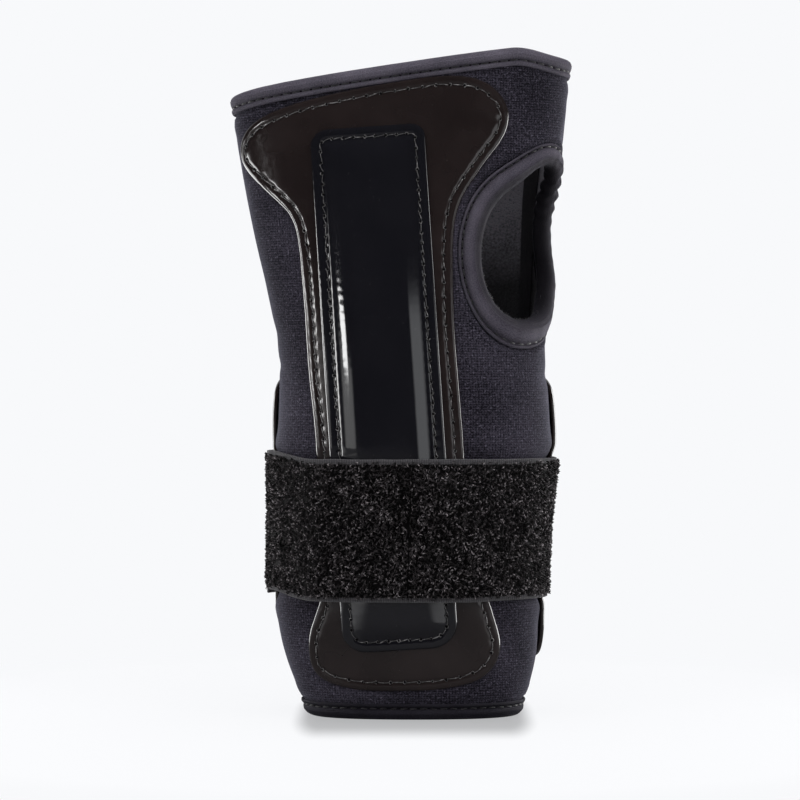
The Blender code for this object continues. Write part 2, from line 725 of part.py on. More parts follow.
# How far its inner face stands off the skin on the way: (share, stand-off). It climbs over the
# palm patch's edges, both splint covers, and at last its own sewn end.
STRAP_PATH = [
    (ANCHOR, 1.6), (-0.31, 1.8), (-0.27, 3.0), (-0.25, 3.0), (-0.20, 0.8), (-0.185, 0.8),
    (-0.11, 5.2), (0.06, 5.2), (0.155, 0.8), (0.19, 0.8), (0.25, 3.0), (0.30, 3.0), (0.43, 5.0),
    (0.55, 5.0), (0.58, 7.3), (0.71, 7.3),
]
# Name, pivot at its start, start, end, columns. Each pivot hangs from the one before.
STRAP_LENGTHS = [
    ("strap_sewn_end", None, ANCHOR, ULNAR, 12),
    ("strap_dorsal_length", "strap_dorsal_pivot", ULNAR, THUMB_FRONT, 22),
    ("strap_thumb_length", "strap_thumb_pivot", THUMB_FRONT, THUMB_BACK, 11),
    ("strap_palm_length", "strap_palm_pivot", THUMB_BACK, TAB, 10),
    ("strap_tab", "strap_tab_pivot", TAB, END, 9),
]
STRAP_GIRTH = float(girth(STRAP_BOTTOM + STRAP_WIDTH / 2))


def strap_stand(shares):
    """Stand-off of the strap's inner face, eased from each point of its path to the next."""
    out = np.full(shares.shape, STRAP_PATH[0][1])
    for (start, low), (end, high) in zip(STRAP_PATH, STRAP_PATH[1:]):
        out = out + (high - low) * ease((shares - start) / (end - start))
    return out


def strap_inner(points):
    return strap_stand(points[:, 0] / girth(points[:, 1]))


def strap_outer(points):
    return strap_inner(points) + STRAP_THICK


def strap_length(name, start, end, columns, parent):
    """One length of the strap, cut short at its pivots."""
    cut = STRAP_GAP / 2 / STRAP_GIRTH
    first = start if start == ANCHOR else start + cut
    last = end if end == END else end - cut
    rows = [STRAP_BOTTOM + STRAP_WIDTH * k / 3 for k in range(4)]
    sheet = grid_sheet(np.linspace(first, last, columns), rows)
    slab(name, sheet, strap_inner, strap_outer, "loop_pile", parent)


def strap_pivot(name, share, parent):
    """An empty on a fold line of the strap, off its outer face, that keeps the line's direction."""
    line = at_shares(share, np.array([STRAP_BOTTOM, STRAP_TOP]))
    stand_off = strap_stand(np.full(2, share)) + STRAP_THICK + PIVOT_RISE
    ends = skin(line, stand_off) / MM_PER_METRE
    location = Vector(ends.mean(0))
    empty = bpy.data.objects.new(name, None)
    bpy.context.scene.collection.objects.link(empty)
    if parent is not None:
        empty.parent = parent
        location = location - parent.matrix_world.translation
    empty.location = location
    bpy.context.view_layer.update()
    empty["axis"] = list(Vector(ends[1] - ends[0]).normalized())
    return empty


def strap_box_thread(name, arcs, heights, pitch, parent=None):
    """Thread round a box on the strap's outer face, its arcs taken at the strap's mid-height."""
    (start, end), (low, high) = arcs, heights
    box = even([(start, low), (end, low), (end, high), (start, high)], pitch)
    shares = box[:, 0] / STRAP_GIRTH
    stitch(name, at_shares(shares, box[:, 1]), strap_stand(shares) + STRAP_THICK, parent)


def hook_patch(tab):
    """Hook patch sewn under the tab, facing the loops of the sewn end, and its thread."""
    margin, seam = 3, 2  # patch in from the strap's edges, thread in from the patch's
    low, high = STRAP_BOTTOM + margin, STRAP_TOP - margin
    shares = np.linspace(TAB, END, 9)[2:-1]
    slab(
        "hook_patch",
        grid_sheet(shares, [low, STRAP_BOTTOM + 18, STRAP_BOTTOM + 32, high]),
        lambda points: strap_inner(points) - STACK_GAP - HOOK_THICK,
        lambda points: strap_inner(points) - STACK_GAP,
        "hook_tape",
        tab,
    )
    arcs = (shares[0] * STRAP_GIRTH + seam, shares[-1] * STRAP_GIRTH - seam)
    strap_box_thread("hook_patch_thread", arcs, (low + seam, high - seam), STITCH_PITCH, tab)


def sewn_end_thread():
    """Box of thread over the sewn end."""
    start = ANCHOR * STRAP_GIRTH
    heights = (STRAP_BOTTOM + 4, STRAP_TOP - 4)
    strap_box_thread("sewn_end_thread", (start + 1.6, start + 7.0), heights, 5.0)


def build_strap():
    pivot = None
    for name, pivot_name, start, end, columns in STRAP_LENGTHS:
        if pivot_name:
            pivot = strap_pivot(pivot_name, start, pivot)
        strap_length(name, start, end, columns, pivot)
    hook_patch(pivot)
    sewn_end_thread()


# ---------------------------------------------------------------- build
def clear_scene():
    for obj in list(bpy.data.objects):
        bpy.data.objects.remove(obj, do_unlink=True)


def build():
    clear_scene()
    build_sleeve()
    build_seam_tapes()
    build_bindings()
    build_dorsal_side()
    build_palm_side()
    build_strap()


build()
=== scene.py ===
"""A wrist guard standing on its forearm opening: neoprene sleeve, taped rims, glossy patches,
splint covers, stitching and a loop-pile strap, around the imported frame.

The back of the hand faces -y and the thumb +x. Lengths are in millimetres until a mesh is made.
  arc    way round the sleeve's skin from the middle of the back of the hand towards the thumb
  lap    arc as a share of the girth
  off    stand-off from the skin, outwards
  depth  distance in from an edge
  spots  arrays whose last axis is (arc, z)
"""

import math

import bpy
import numpy as np
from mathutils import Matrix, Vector
from mathutils.geometry import delaunay_2d_cdt


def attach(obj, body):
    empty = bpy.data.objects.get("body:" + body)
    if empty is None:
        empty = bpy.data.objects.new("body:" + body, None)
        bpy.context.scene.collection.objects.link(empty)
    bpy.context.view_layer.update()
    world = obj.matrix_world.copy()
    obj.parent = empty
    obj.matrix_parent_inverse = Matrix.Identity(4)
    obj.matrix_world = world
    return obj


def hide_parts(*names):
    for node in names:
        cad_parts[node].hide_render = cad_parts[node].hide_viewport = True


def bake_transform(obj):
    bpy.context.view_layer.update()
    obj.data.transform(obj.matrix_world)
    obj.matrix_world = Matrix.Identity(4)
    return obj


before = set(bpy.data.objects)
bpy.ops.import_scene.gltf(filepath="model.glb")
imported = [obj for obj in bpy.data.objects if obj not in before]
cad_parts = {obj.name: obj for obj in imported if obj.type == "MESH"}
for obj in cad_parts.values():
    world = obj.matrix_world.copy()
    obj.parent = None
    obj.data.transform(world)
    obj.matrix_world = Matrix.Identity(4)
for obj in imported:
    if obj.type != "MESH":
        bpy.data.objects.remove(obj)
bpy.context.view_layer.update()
STITCH_RANDOM = np.random.default_rng(7)

# ---------------------------------------------------------------- dimensions
MIDDLE = np.array([1.5, 0.27, 0.0])  # where the sleeve's own origin stands
SQUARENESS = 2.5  # exponent of the superellipse section
# z, centre x, half width, y of the back of the hand, y of the palm
STATIONS = [
    (0.0, 2.8, 35.8, -20.5, 20.5),
    (14.0, 2.2, 41.2, -22.6, 22.6),
    (38.0, 0.6, 45.0, -25.0, 24.8),
    (56.0, 0.9, 45.2, -26.0, 25.4),
    (74.0, 1.6, 45.8, -26.6, 25.6),
    (96.0, 2.8, 46.9, -27.0, 25.2),
    (123.0, 2.2, 45.8, -26.4, 23.2),
    (151.0, 0.3, 49.2, -24.4, 21.6),
    (179.0, -1.6, 53.3, -21.8, 22.0),
    (205.0, -2.0, 57.0, -19.6, 23.8),
    (232.0, -1.6, 58.0, -18.4, 26.0),
]
NOMINAL_GIRTH = 235
SLEEVE_WALL = 2.6
SEAM_THUMB, SEAM_ULNAR = 0.31, -0.31  # laps of the seams between the two panels

# the finger rim's height, its slope along x, and its drop at the corners and over the palm
RIM_HEIGHT, RIM_SLOPE = 222.6, 0.150
THUMB_CORNER_DROP, FAR_CORNER_DROP, RIM_PALM_DROP = 5.0, 0.2, 1.0
RIM_LEVEL = 222.0  # the section that the rim is measured on
THUMB_BINDING_DEPTH = 6.8
# depth of the stitch line in each rim tape
FINGER_SEAM, FOREARM_SEAM, THUMB_SEAM = 4.3, 3.9, 6.1
# the thumb opening, a tilted oval: centre (arc, z) and half axes
THUMB_CENTRE, THUMB_HALF = np.array([44.6, 162.5]), (18.0, 28.5)
THUMB_TILT = math.radians(19.0)

GAP, PATCH_SHEET, COVER_SHEET = 0.35, 0.9, 0.7
STITCH_SINK = 0.14  # stitches lie this far below the full face of their sheet
COVER_WIDTH, COVER_STITCH, PATCH_STITCH = 38.6, 3.4, 3.1
# outline of the patch on the back of the hand: x, z
DORSAL_PATCH = [
    (0.0, 10.0), (15.0, 11.0), (27.0, 15.0), (32.0, 25.0), (28.0, 41.0), (22.0, 66.0),
    (19.5, 92.0), (17.5, 118.0), (16.0, 145.0), (17.0, 171.0), (25.0, 186.0), (33.5, 198.0),
    (34.5, 208.0), (27.0, 216.0), (14.0, 218.0), (-8.0, 215.0), (-26.0, 211.5), (-44.0, 206.5),
    (-54.0, 200.0), (-55.5, 190.0), (-46.0, 178.0), (-37.5, 168.0), (-34.5, 145.0),
    (-32.5, 118.0), (-30.0, 92.0), (-28.5, 66.0), (-28.0, 43.0), (-32.5, 28.0), (-30.5, 15.5),
    (-18.0, 10.5),
]
# depths of a sheet's rings of points, closest at the rounded edge and round the stitch line
EDGE_DEPTHS = [0, 0.05, 0.14, 0.28, 0.46, 0.66, 0.85, 1.15]
PATCH_DEPTHS = EDGE_DEPTHS + [
    1.45, 1.75, 2.1, 2.45, 2.75, 3.1, 3.45, 3.75, 4.1, 4.5, 5.1, 6.0,
]
COVER_DEPTHS = EDGE_DEPTHS + [
    1.5, 2.0, 2.4, 2.8, 3.1, 3.4, 3.7, 4.0, 4.4, 4.8, 5.2, 5.6, 6.0, 6.4, 6.8, 7.2, 7.6, 8.0,
    8.5, 9.0, 9.6, 10.3, 11.0, 11.8, 12.6,
]

STRAP_WIDTH, STRAP_BOTTOM, STRAP_THICK, STRAP_BITE = 48.0, 40.5, 2.6, 1.5
# laps of the sewn end, the pivots and the free end
ANCHOR_U, ULNAR_U, THUMB_FRONT_U, THUMB_BACK_U = -0.418, -0.238, 0.185, 0.325
TAB_U, END_U = 0.56, 0.70
# lap, stand-off of the strap's inner face
STRAP_PATH = [
    (-0.418, 1.6), (-0.31, 1.8), (-0.27, 3.0), (-0.25, 3.0), (-0.20, 0.8), (-0.185, 0.8),
    (-0.11, 5.2), (0.06, 5.2), (0.155, 0.8), (0.19, 0.8), (0.25, 3.0), (0.30, 3.0),
    (0.43, 5.0), (0.55, 5.0), (0.58, 7.3), (0.71, 7.3),
]


# ---------------------------------------------------------------- arithmetic
def ease(x):
    x = np.clip(x, 0, 1)
    return x * x * (3 - 2 * x)


def bell(value, at, width, height=1.0):
    return height * np.exp(-(((value - at) / width) ** 2))


def angle_bell(angle, at, width, height=1.0):
    """A bell over a direction in radians, the short way round."""
    return bell((angle - at + math.pi) % (2 * math.pi) - math.pi, 0.0, width, height)


def join(*columns):
    return np.stack(np.broadcast_arrays(*columns), -1)


def circle(angle):
    return join(np.cos(angle), np.sin(angle))


def quarter_turn(way):
    return join(-way[..., 1], way[..., 0])


def unit(vectors, guard=0.0):
    return vectors / (np.linalg.norm(vectors, axis=-1, keepdims=True) + guard)


def close(loop):
    return np.vstack([loop, loop[:1]])


def run_along(line):
    """Distance along a line at each of its points."""
    return np.concatenate([[0], np.cumsum(np.linalg.norm(np.diff(line, axis=0), axis=1))])


def interpolate(at, run, line):
    return join(*(np.interp(at, run, column) for column in line.T))


def natural_spline(places, values):
    """Natural cubic spline through the values."""
    places, values = np.array(places, float), np.array(values, float)
    count, gap = len(places), np.diff(places)
    slope = np.diff(values) / gap
    system, right = np.zeros((count, count)), np.zeros(count)
    system[0, 0] = system[-1, -1] = 1.0
    for i in range(1, count - 1):
        system[i, i - 1 : i + 2] = gap[i - 1], 2 * (gap[i - 1] + gap[i]), gap[i]
        right[i] = 6 * (slope[i] - slope[i - 1])
    bend = np.linalg.solve(system, right)

    def value(place):
        place = np.asarray(place, float)
        i = np.clip(np.searchsorted(places, place) - 1, 0, count - 2)
        above, below = places[i + 1] - place, place - places[i]
        return (
            (bend[i] * above**3 + bend[i + 1] * below**3) / (6 * gap[i])
            + (values[i] / gap[i] - bend[i] * gap[i] / 6) * above
            + (values[i + 1] / gap[i] - bend[i + 1] * gap[i] / 6) * below
        )

    return value


def noise(points, size, seed, octaves=2):
    """Smooth value noise of any dimension, -1 to 1."""
    points = np.asarray(points, float) / size
    count, dims = points.shape
    out, share, total_share = np.zeros(count), 1.0, 0.0
    for octave in range(octaves):
        place = points * 2**octave + seed * 17.13 + octave * 5.7
        cell = np.floor(place).astype(np.int64)
        part = place - cell
        part = part * part * (3 - 2 * part)
        total = np.zeros(count)
        for corner in range(2**dims):
            weight = np.ones(count)
            key = np.full(count, seed * 7919 + octave * 104729, np.int64)
            for k in range(dims):
                bit = (corner >> k) & 1
                weight = weight * (part[:, k] if bit else 1 - part[:, k])
                key = key * 1000003 + (cell[:, k] + bit) * (73856093 + 19349663 * k)
            mixed = (key ^ (key >> 13)) * 1274126177
            total += weight * (((mixed ^ (mixed >> 16)) & 0xFFFF) / 32767.5 - 1)
        out += total * share
        total_share += share
        share *= 0.5
    return out / total_share


# ---------------------------------------------------------------- the sleeve's skin
STATION_Z, *STATION_COLUMNS = zip(*STATIONS, strict=True)
centre_x, free_half_width, dorsal_y, palmar_y = (
    natural_spline(STATION_Z, column) for column in STATION_COLUMNS
)


def half_width(z):
    """Half the section's width, drawn in under the strap."""
    low, high = STRAP_BOTTOM - 3.5, STRAP_BOTTOM + STRAP_WIDTH + 4.5
    return free_half_width(z) - STRAP_BITE * ease((z - low) / 7.0) * ease((high - z) / 7.0)


def section(angle, z):
    cosine, sine = np.cos(angle), np.sin(angle)
    power = 2.0 / SQUARENESS
    half_depth = (palmar_y(z) - dorsal_y(z)) / 2
    x = centre_x(z) + half_width(z) * np.sign(cosine) * np.abs(cosine) ** power
    y = (palmar_y(z) + dorsal_y(z)) / 2 + half_depth * np.sign(sine) * np.abs(sine) ** power
    return join(x, y, z)


# tables from lap to the section's angle, level by level
TABLE_LOW, TABLE_STEP, LAP_STEPS = -6.0, 3.0, 1440
TABLE_Z = np.arange(TABLE_LOW, 243.0, TABLE_STEP)
TABLE_ANGLE = np.linspace(-1.5 * math.pi, 0.5 * math.pi, 2881)
TABLE_LAP = np.linspace(-0.5, 0.5, LAP_STEPS + 1)
GIRTH, ANGLE_OF_LAP = [], []
for level_z in TABLE_Z:
    level_run = run_along(section(TABLE_ANGLE, level_z))
    dorsal_run = np.interp(-0.5 * math.pi, TABLE_ANGLE, level_run)
    GIRTH.append(level_run[-1])
    level_lap = (level_run - dorsal_run) / level_run[-1]
    ANGLE_OF_LAP.append(np.interp(TABLE_LAP, level_lap, TABLE_ANGLE))
GIRTH, ANGLE_OF_LAP = np.array(GIRTH), np.array(ANGLE_OF_LAP)


def girth(z):
    return np.interp(z, TABLE_Z, GIRTH)


def angle_of(lap, z):
    lap = lap - np.round(lap)
    row = np.clip((z - TABLE_LOW) / TABLE_STEP, 0, len(TABLE_Z) - 1.001)
    column = np.clip((lap + 0.5) * LAP_STEPS, 0, LAP_STEPS - 0.001)
    i, j = row.astype(int), column.astype(int)
    up, on = row - i, column - j
    low = ANGLE_OF_LAP[i, j] * (1 - on) + ANGLE_OF_LAP[i, j + 1] * on
    high = ANGLE_OF_LAP[i + 1, j] * (1 - on) + ANGLE_OF_LAP[i + 1, j + 1] * on
    return low * (1 - up) + high * up


def skin(spots, off):
    """Points in space at a stand-off from the skin."""
    arc, z, off = np.broadcast_arrays(spots[..., 0], spots[..., 1], off)
    angle = angle_of(arc / girth(z), z)
    way = section(angle + 2e-3, z) - section(angle - 2e-3, z)
    normal = unit(join(way[..., 1], -way[..., 0], 0.0))
    return section(angle, z) + normal * off[..., None] + MIDDLE


def arc_of_x(x, z):
    """The arc of the point with this x on the back of the hand."""
    angles = np.linspace(-math.pi, 0, 1441)
    angle = np.interp(x, section(angles, float(z))[:, 0], angles)
    row = ANGLE_OF_LAP[int(round((z - TABLE_LOW) / TABLE_STEP))]
    return float(np.interp(angle, row, TABLE_LAP)) * float(girth(z))


def rim_z(lap):
    """Height of the finger rim."""
    place = section(angle_of(lap, RIM_LEVEL), RIM_LEVEL)
    x, y = place[..., 0], place[..., 1]
    half = (palmar_y(RIM_LEVEL) - dorsal_y(RIM_LEVEL)) / 2
    middle = (palmar_y(RIM_LEVEL) + dorsal_y(RIM_LEVEL)) / 2
    corner = THUMB_CORNER_DROP * ease((x - 36) / 21) + FAR_CORNER_DROP * ease((-48 - x) / 12)
    return RIM_HEIGHT + RIM_SLOPE * x - corner - RIM_PALM_DROP * (1 + (y - middle) / half)


# ---------------------------------------------------------------- outlines
def even(loop, count):
    """The same loop with evenly spaced points."""
    loop = close(loop)
    run = run_along(loop)
    return interpolate(np.linspace(0, run[-1], count + 1)[:-1], run, loop)


def smooth_loop(points, per_span=16):
    """Catmull-Rom loop through the points."""
    points = np.array(points, float)
    before, here, after, beyond = (np.roll(points, k, 0)[:, None] for k in (1, 0, -1, -2))
    part = (np.arange(per_span) / per_span)[:, None]
    curve = 0.5 * (
        2 * here
        + (after - before) * part
        + (2 * before - 5 * here + 4 * after - beyond) * part**2
        + (3 * here - before - 3 * after + beyond) * part**3
    )
    return curve.reshape(-1, 2)


def relax(loop, rounds):
    """Takes the small kinks out of a loop."""
    for _ in range(rounds):
        loop = 0.5 * loop + 0.25 * (np.roll(loop, 1, 0) + np.roll(loop, -1, 0))
    return loop


def inset(loop, by):
    ahead = unit(np.roll(loop, -1, 0) - loop)
    behind = unit(loop - np.roll(loop, 1, 0))
    return loop + quarter_turn(unit(ahead + behind)) * np.reshape(by, (-1, 1))


def bar_ring(low, high, width, corners, by, arc_steps=14, pitch=1.0):
    """A loop of a rounded bar, drawn in; loops at different distances line up point for point."""
    low, high = np.array(low, float), np.array(high, float)
    length = np.linalg.norm(high - low)
    along = (high - low) / length
    right = np.array([along[1], -along[0]])
    arcs = []
    # end, side, way inwards, degrees where the corner starts
    places = [(low, 1, 1, -90), (high, 1, -1, 0), (high, -1, -1, 90), (low, -1, 1, 180)]
    for (end, side, way, start), corner in zip(places, corners, strict=True):
        radius = max(corner - by, 0.8)
        centre = end + way * along * (by + radius) + right * side * (width / 2 - by - radius)
        angle = np.radians(start + 90 * np.arange(arc_steps + 1) / arc_steps)
        sweep = np.cos(angle)[:, None] * right + np.sin(angle)[:, None] * along
        arcs.append(centre + radius * sweep)
    out = []
    for k, corner_arc in enumerate(arcs):
        count = int((length if k % 2 == 0 else width) / pitch)
        part = np.arange(1, count)[:, None] / count
        out += [corner_arc, corner_arc[-1] * (1 - part) + arcs[(k + 1) % 4][0] * part]
    return np.vstack(out)


def thumb_shape(angle):
    """The opening is a teardrop: how far its edge lies off the plain oval, by direction."""
    return angle_bell(angle, at=2.25, width=0.55, height=-3.9) + angle_bell(
        angle, at=-0.1, width=0.75, height=3.6
    )


def thumb_stretch(angle):
    """The roll is broader along the bottom."""
    return 1 + angle_bell(angle, at=-1.45, width=0.65, height=0.26)


def thumb_oval(by, count):
    """Loop at a distance outside the thumb opening's edge."""
    angle = np.linspace(0, 2 * math.pi, count, endpoint=False)
    by = by * thumb_stretch(angle) + thumb_shape(angle)
    x, z = (THUMB_HALF[0] + by) * np.cos(angle), (THUMB_HALF[1] + by) * np.sin(angle)
    cosine, sine = math.cos(THUMB_TILT), math.sin(THUMB_TILT)
    return THUMB_CENTRE + join(x * cosine + z * sine, -x * sine + z * cosine)


def thumb_axes(spots):
    """Spots along the two axes of the thumb opening."""
    cosine, sine = math.cos(THUMB_TILT), math.sin(THUMB_TILT)
    x, z = spots[..., 0] - THUMB_CENTRE[0], spots[..., 1] - THUMB_CENTRE[1]
    return x * cosine - z * sine, x * sine + z * cosine


def thumb_turn(spots):
    """Direction from the middle of the thumb opening."""
    x, z = thumb_axes(spots)
    return np.arctan2(z / THUMB_HALF[1], x / THUMB_HALF[0])


def thumb_reach(spots):
    """Roughly how far spots lie outside the thumb opening's edge."""
    x, z = thumb_axes(spots)
    turn = thumb_turn(spots)
    for _ in range(3):
        shape = thumb_shape(turn)
        turn = np.arctan2(z / (THUMB_HALF[1] + shape), x / (THUMB_HALF[0] + shape))
    shape = thumb_shape(turn)
    ratio = np.hypot(x / (THUMB_HALF[0] + shape), z / (THUMB_HALF[1] + shape))
    radius = np.hypot(x, z) / np.maximum(ratio, 1e-6)
    return (ratio - 1) * radius / thumb_stretch(turn)


def thumb_pull(spots):
    """The thumb side is drawn in beside the opening, and bulges below that."""
    arc, z = spots[..., 0], spots[..., 1]
    drawn = bell(z, at=171.0, width=13.0, height=-2.1) + bell(z, at=150.0, width=8.0, height=0.7)
    return bell(arc, at=65.0, width=10.0) * drawn


def inside(points, loop, batch=4000):
    out = np.zeros(len(points), bool)
    ax, ay = loop.T[:, None]
    bx, by = np.roll(loop, -1, 0).T[:, None]
    for i in range(0, len(points), batch):
        x, y = points[i : i + batch].T[..., None]
        crossed = ((ay > y) != (by > y)) & (x < (bx - ax) * (y - ay) / (by - ay + 1e-12) + ax)
        out[i : i + batch] = crossed.sum(1) % 2 == 1
    return out


def nearest(points, loop, batch=2000):
    """Distance to the loop's nearest point, and that point's index."""
    gap, index = np.zeros(len(points)), np.zeros(len(points), int)
    for i in range(0, len(points), batch):
        apart = np.linalg.norm(points[i : i + batch, None] - loop[None], axis=2)
        gap[i : i + batch] = apart.min(1)
        index[i : i + batch] = apart.argmin(1)
    return gap, index


# ---------------------------------------------------------------- meshes
def make_mesh(
    name, points, faces, materials, face_material=None, uv=None, smooth=True, tone=None
):
    """An object from points in millimetres and face index arrays of one size each."""
    faces = [np.asarray(group, np.int64) for group in faces]
    mesh = bpy.data.meshes.new(name)
    places = np.asarray(points, np.float32).reshape(-1, 3) / 1000
    mesh.vertices.add(len(places))
    mesh.vertices.foreach_set("co", places.ravel())
    flat = np.concatenate([group.ravel() for group in faces])
    sizes = np.concatenate([np.full(len(group), group.shape[1]) for group in faces])
    mesh.loops.add(len(flat))
    mesh.loops.foreach_set("vertex_index", flat.astype(np.int32))
    mesh.polygons.add(len(sizes))
    starts = np.concatenate([[0], np.cumsum(sizes)[:-1]])
    mesh.polygons.foreach_set("loop_start", starts.astype(np.int32))
    if face_material is not None:
        mesh.polygons.foreach_set("material_index", np.asarray(face_material, np.int32))
    mesh.update(calc_edges=True)
    if uv is not None:
        layer = mesh.uv_layers.new(name="mm")
        layer.data.foreach_set("uv", (np.asarray(uv, np.float32)[flat] / 1000).ravel())
    if tone is not None:
        attribute = mesh.attributes.new("tone", "FLOAT", "POINT")
        attribute.data.foreach_set("value", np.asarray(tone, np.float32))
    mesh.validate()
    mesh.polygons.foreach_set("use_smooth", np.full(len(mesh.polygons), smooth))
    for material in materials:
        mesh.materials.append(material)
    obj = bpy.data.objects.new(name, mesh)
    bpy.context.scene.collection.objects.link(obj)
    return obj


def register(obj, slot, *stands_for, body="guard"):
    """Attaches the object to the body it rides on and hides the frame's parts it stands for. slot
    is not used.
    """
    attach(obj, body)
    if stands_for:
        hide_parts(*stands_for)


def grid_faces(rows, columns, wrap_rows=False, wrap_columns=False):
    """Quads over points stored row by row: each goes first along its row, then to the next."""
    i = np.arange(rows if wrap_rows else rows - 1)[:, None]
    j = np.arange(columns if wrap_columns else columns - 1)
    next_i, next_j = (i + 1) % rows, (j + 1) % columns
    corners = ((i, j), (i, next_j), (next_i, next_j), (next_i, j))
    return join(*(row * columns + column for row, column in corners)).reshape(-1, 4)


def triangulate(loops, spots, keep=None):
    """Triangles inside the loops, the first the outline, through the given spots."""
    coords, edges = [], []

    def flat(group):
        arcs = group[:, 0] * NOMINAL_GIRTH / girth(group[:, 1])
        return [Vector((float(x), float(z))) for x, z in zip(arcs, group[:, 1], strict=True)]

    for loop in loops:
        first = len(coords)
        coords += flat(loop)
        edges += [(first + i, first + (i + 1) % len(loop)) for i in range(len(loop))]
    coords += flat(spots)
    found = delaunay_2d_cdt(coords, edges, [], 1, 1e-6)
    points = np.array([list(vertex) for vertex in found[0]])
    points[:, 0] *= girth(points[:, 1]) / NOMINAL_GIRTH
    triangles = np.array([list(face) for face in found[2]])
    if keep is not None:
        triangles = triangles[keep(points[triangles].mean(1))]
    start = points[triangles[:, 0]]
    first, second = points[triangles[:, 1]] - start, points[triangles[:, 2]] - start
    clockwise = first[:, 0] * second[:, 1] - first[:, 1] * second[:, 0] < 0
    triangles[clockwise] = triangles[clockwise][:, ::-1]
    used = np.unique(triangles)
    renumber = np.full(len(points), -1)
    renumber[used] = np.arange(len(used))
    return points[used], renumber[triangles]


def shell(name, spots, triangles, high, low, materials):
    """A closed solid on the skin between two stand-offs, its underside in the second material."""
    count = len(spots)
    ends = np.concatenate([triangles[:, [0, 1]], triangles[:, [1, 2]], triangles[:, [2, 0]]])
    keys = ends[:, 0].astype(np.int64) * count + ends[:, 1]
    back = ends[:, 1].astype(np.int64) * count + ends[:, 0]
    start, end = ends[~np.isin(back, keys)].T
    wall = join(end, start, start + count, end + count)
    points = np.vstack([skin(spots, high), skin(spots, low)])
    sizes = [len(triangles), len(triangles), len(wall)]
    faces = [np.vstack([triangles, triangles[:, ::-1] + count]), wall]
    uv = np.vstack([spots, spots])
    return make_mesh(name, points, faces, materials, np.repeat([0, 1, 0], sizes), uv)


def tube_mesh(lines, radius, sides):
    """Points, sides and end caps of round tubes along lines shaped (count, points, 3)."""
    count, steps, _ = lines.shape
    tangent = unit(np.gradient(lines, axis=1), guard=1e-9)
    up = unit(np.cross(tangent, np.array([0.31, 0.17, 0.93])), guard=1e-9)
    side = np.cross(tangent, up)
    radius = np.broadcast_to(radius, (count, steps))[..., None, None]
    angle = (np.arange(sides) * 2 * math.pi / sides)[:, None]
    round_line = np.cos(angle) * up[:, :, None] + np.sin(angle) * side[:, :, None]
    points = lines[:, :, None] + radius * round_line
    base = np.arange(count)[:, None] * steps * sides
    quads = base[..., None] + grid_faces(steps, sides, wrap_columns=True)
    first = base + np.arange(sides)[::-1]
    last = base + (steps - 1) * sides + np.arange(sides)
    caps = np.vstack([first, last])
    # the rings run clockwise seen along the line, so the faces are turned to face out
    return points.reshape(-1, 3), quads.reshape(-1, 4)[:, ::-1], caps[:, ::-1]


def tubes(name, lines, radius, sides, material, tone=None):
    points, quads, caps = tube_mesh(lines, radius, sides)
    return make_mesh(name, points, [quads, caps], [material], tone=tone)


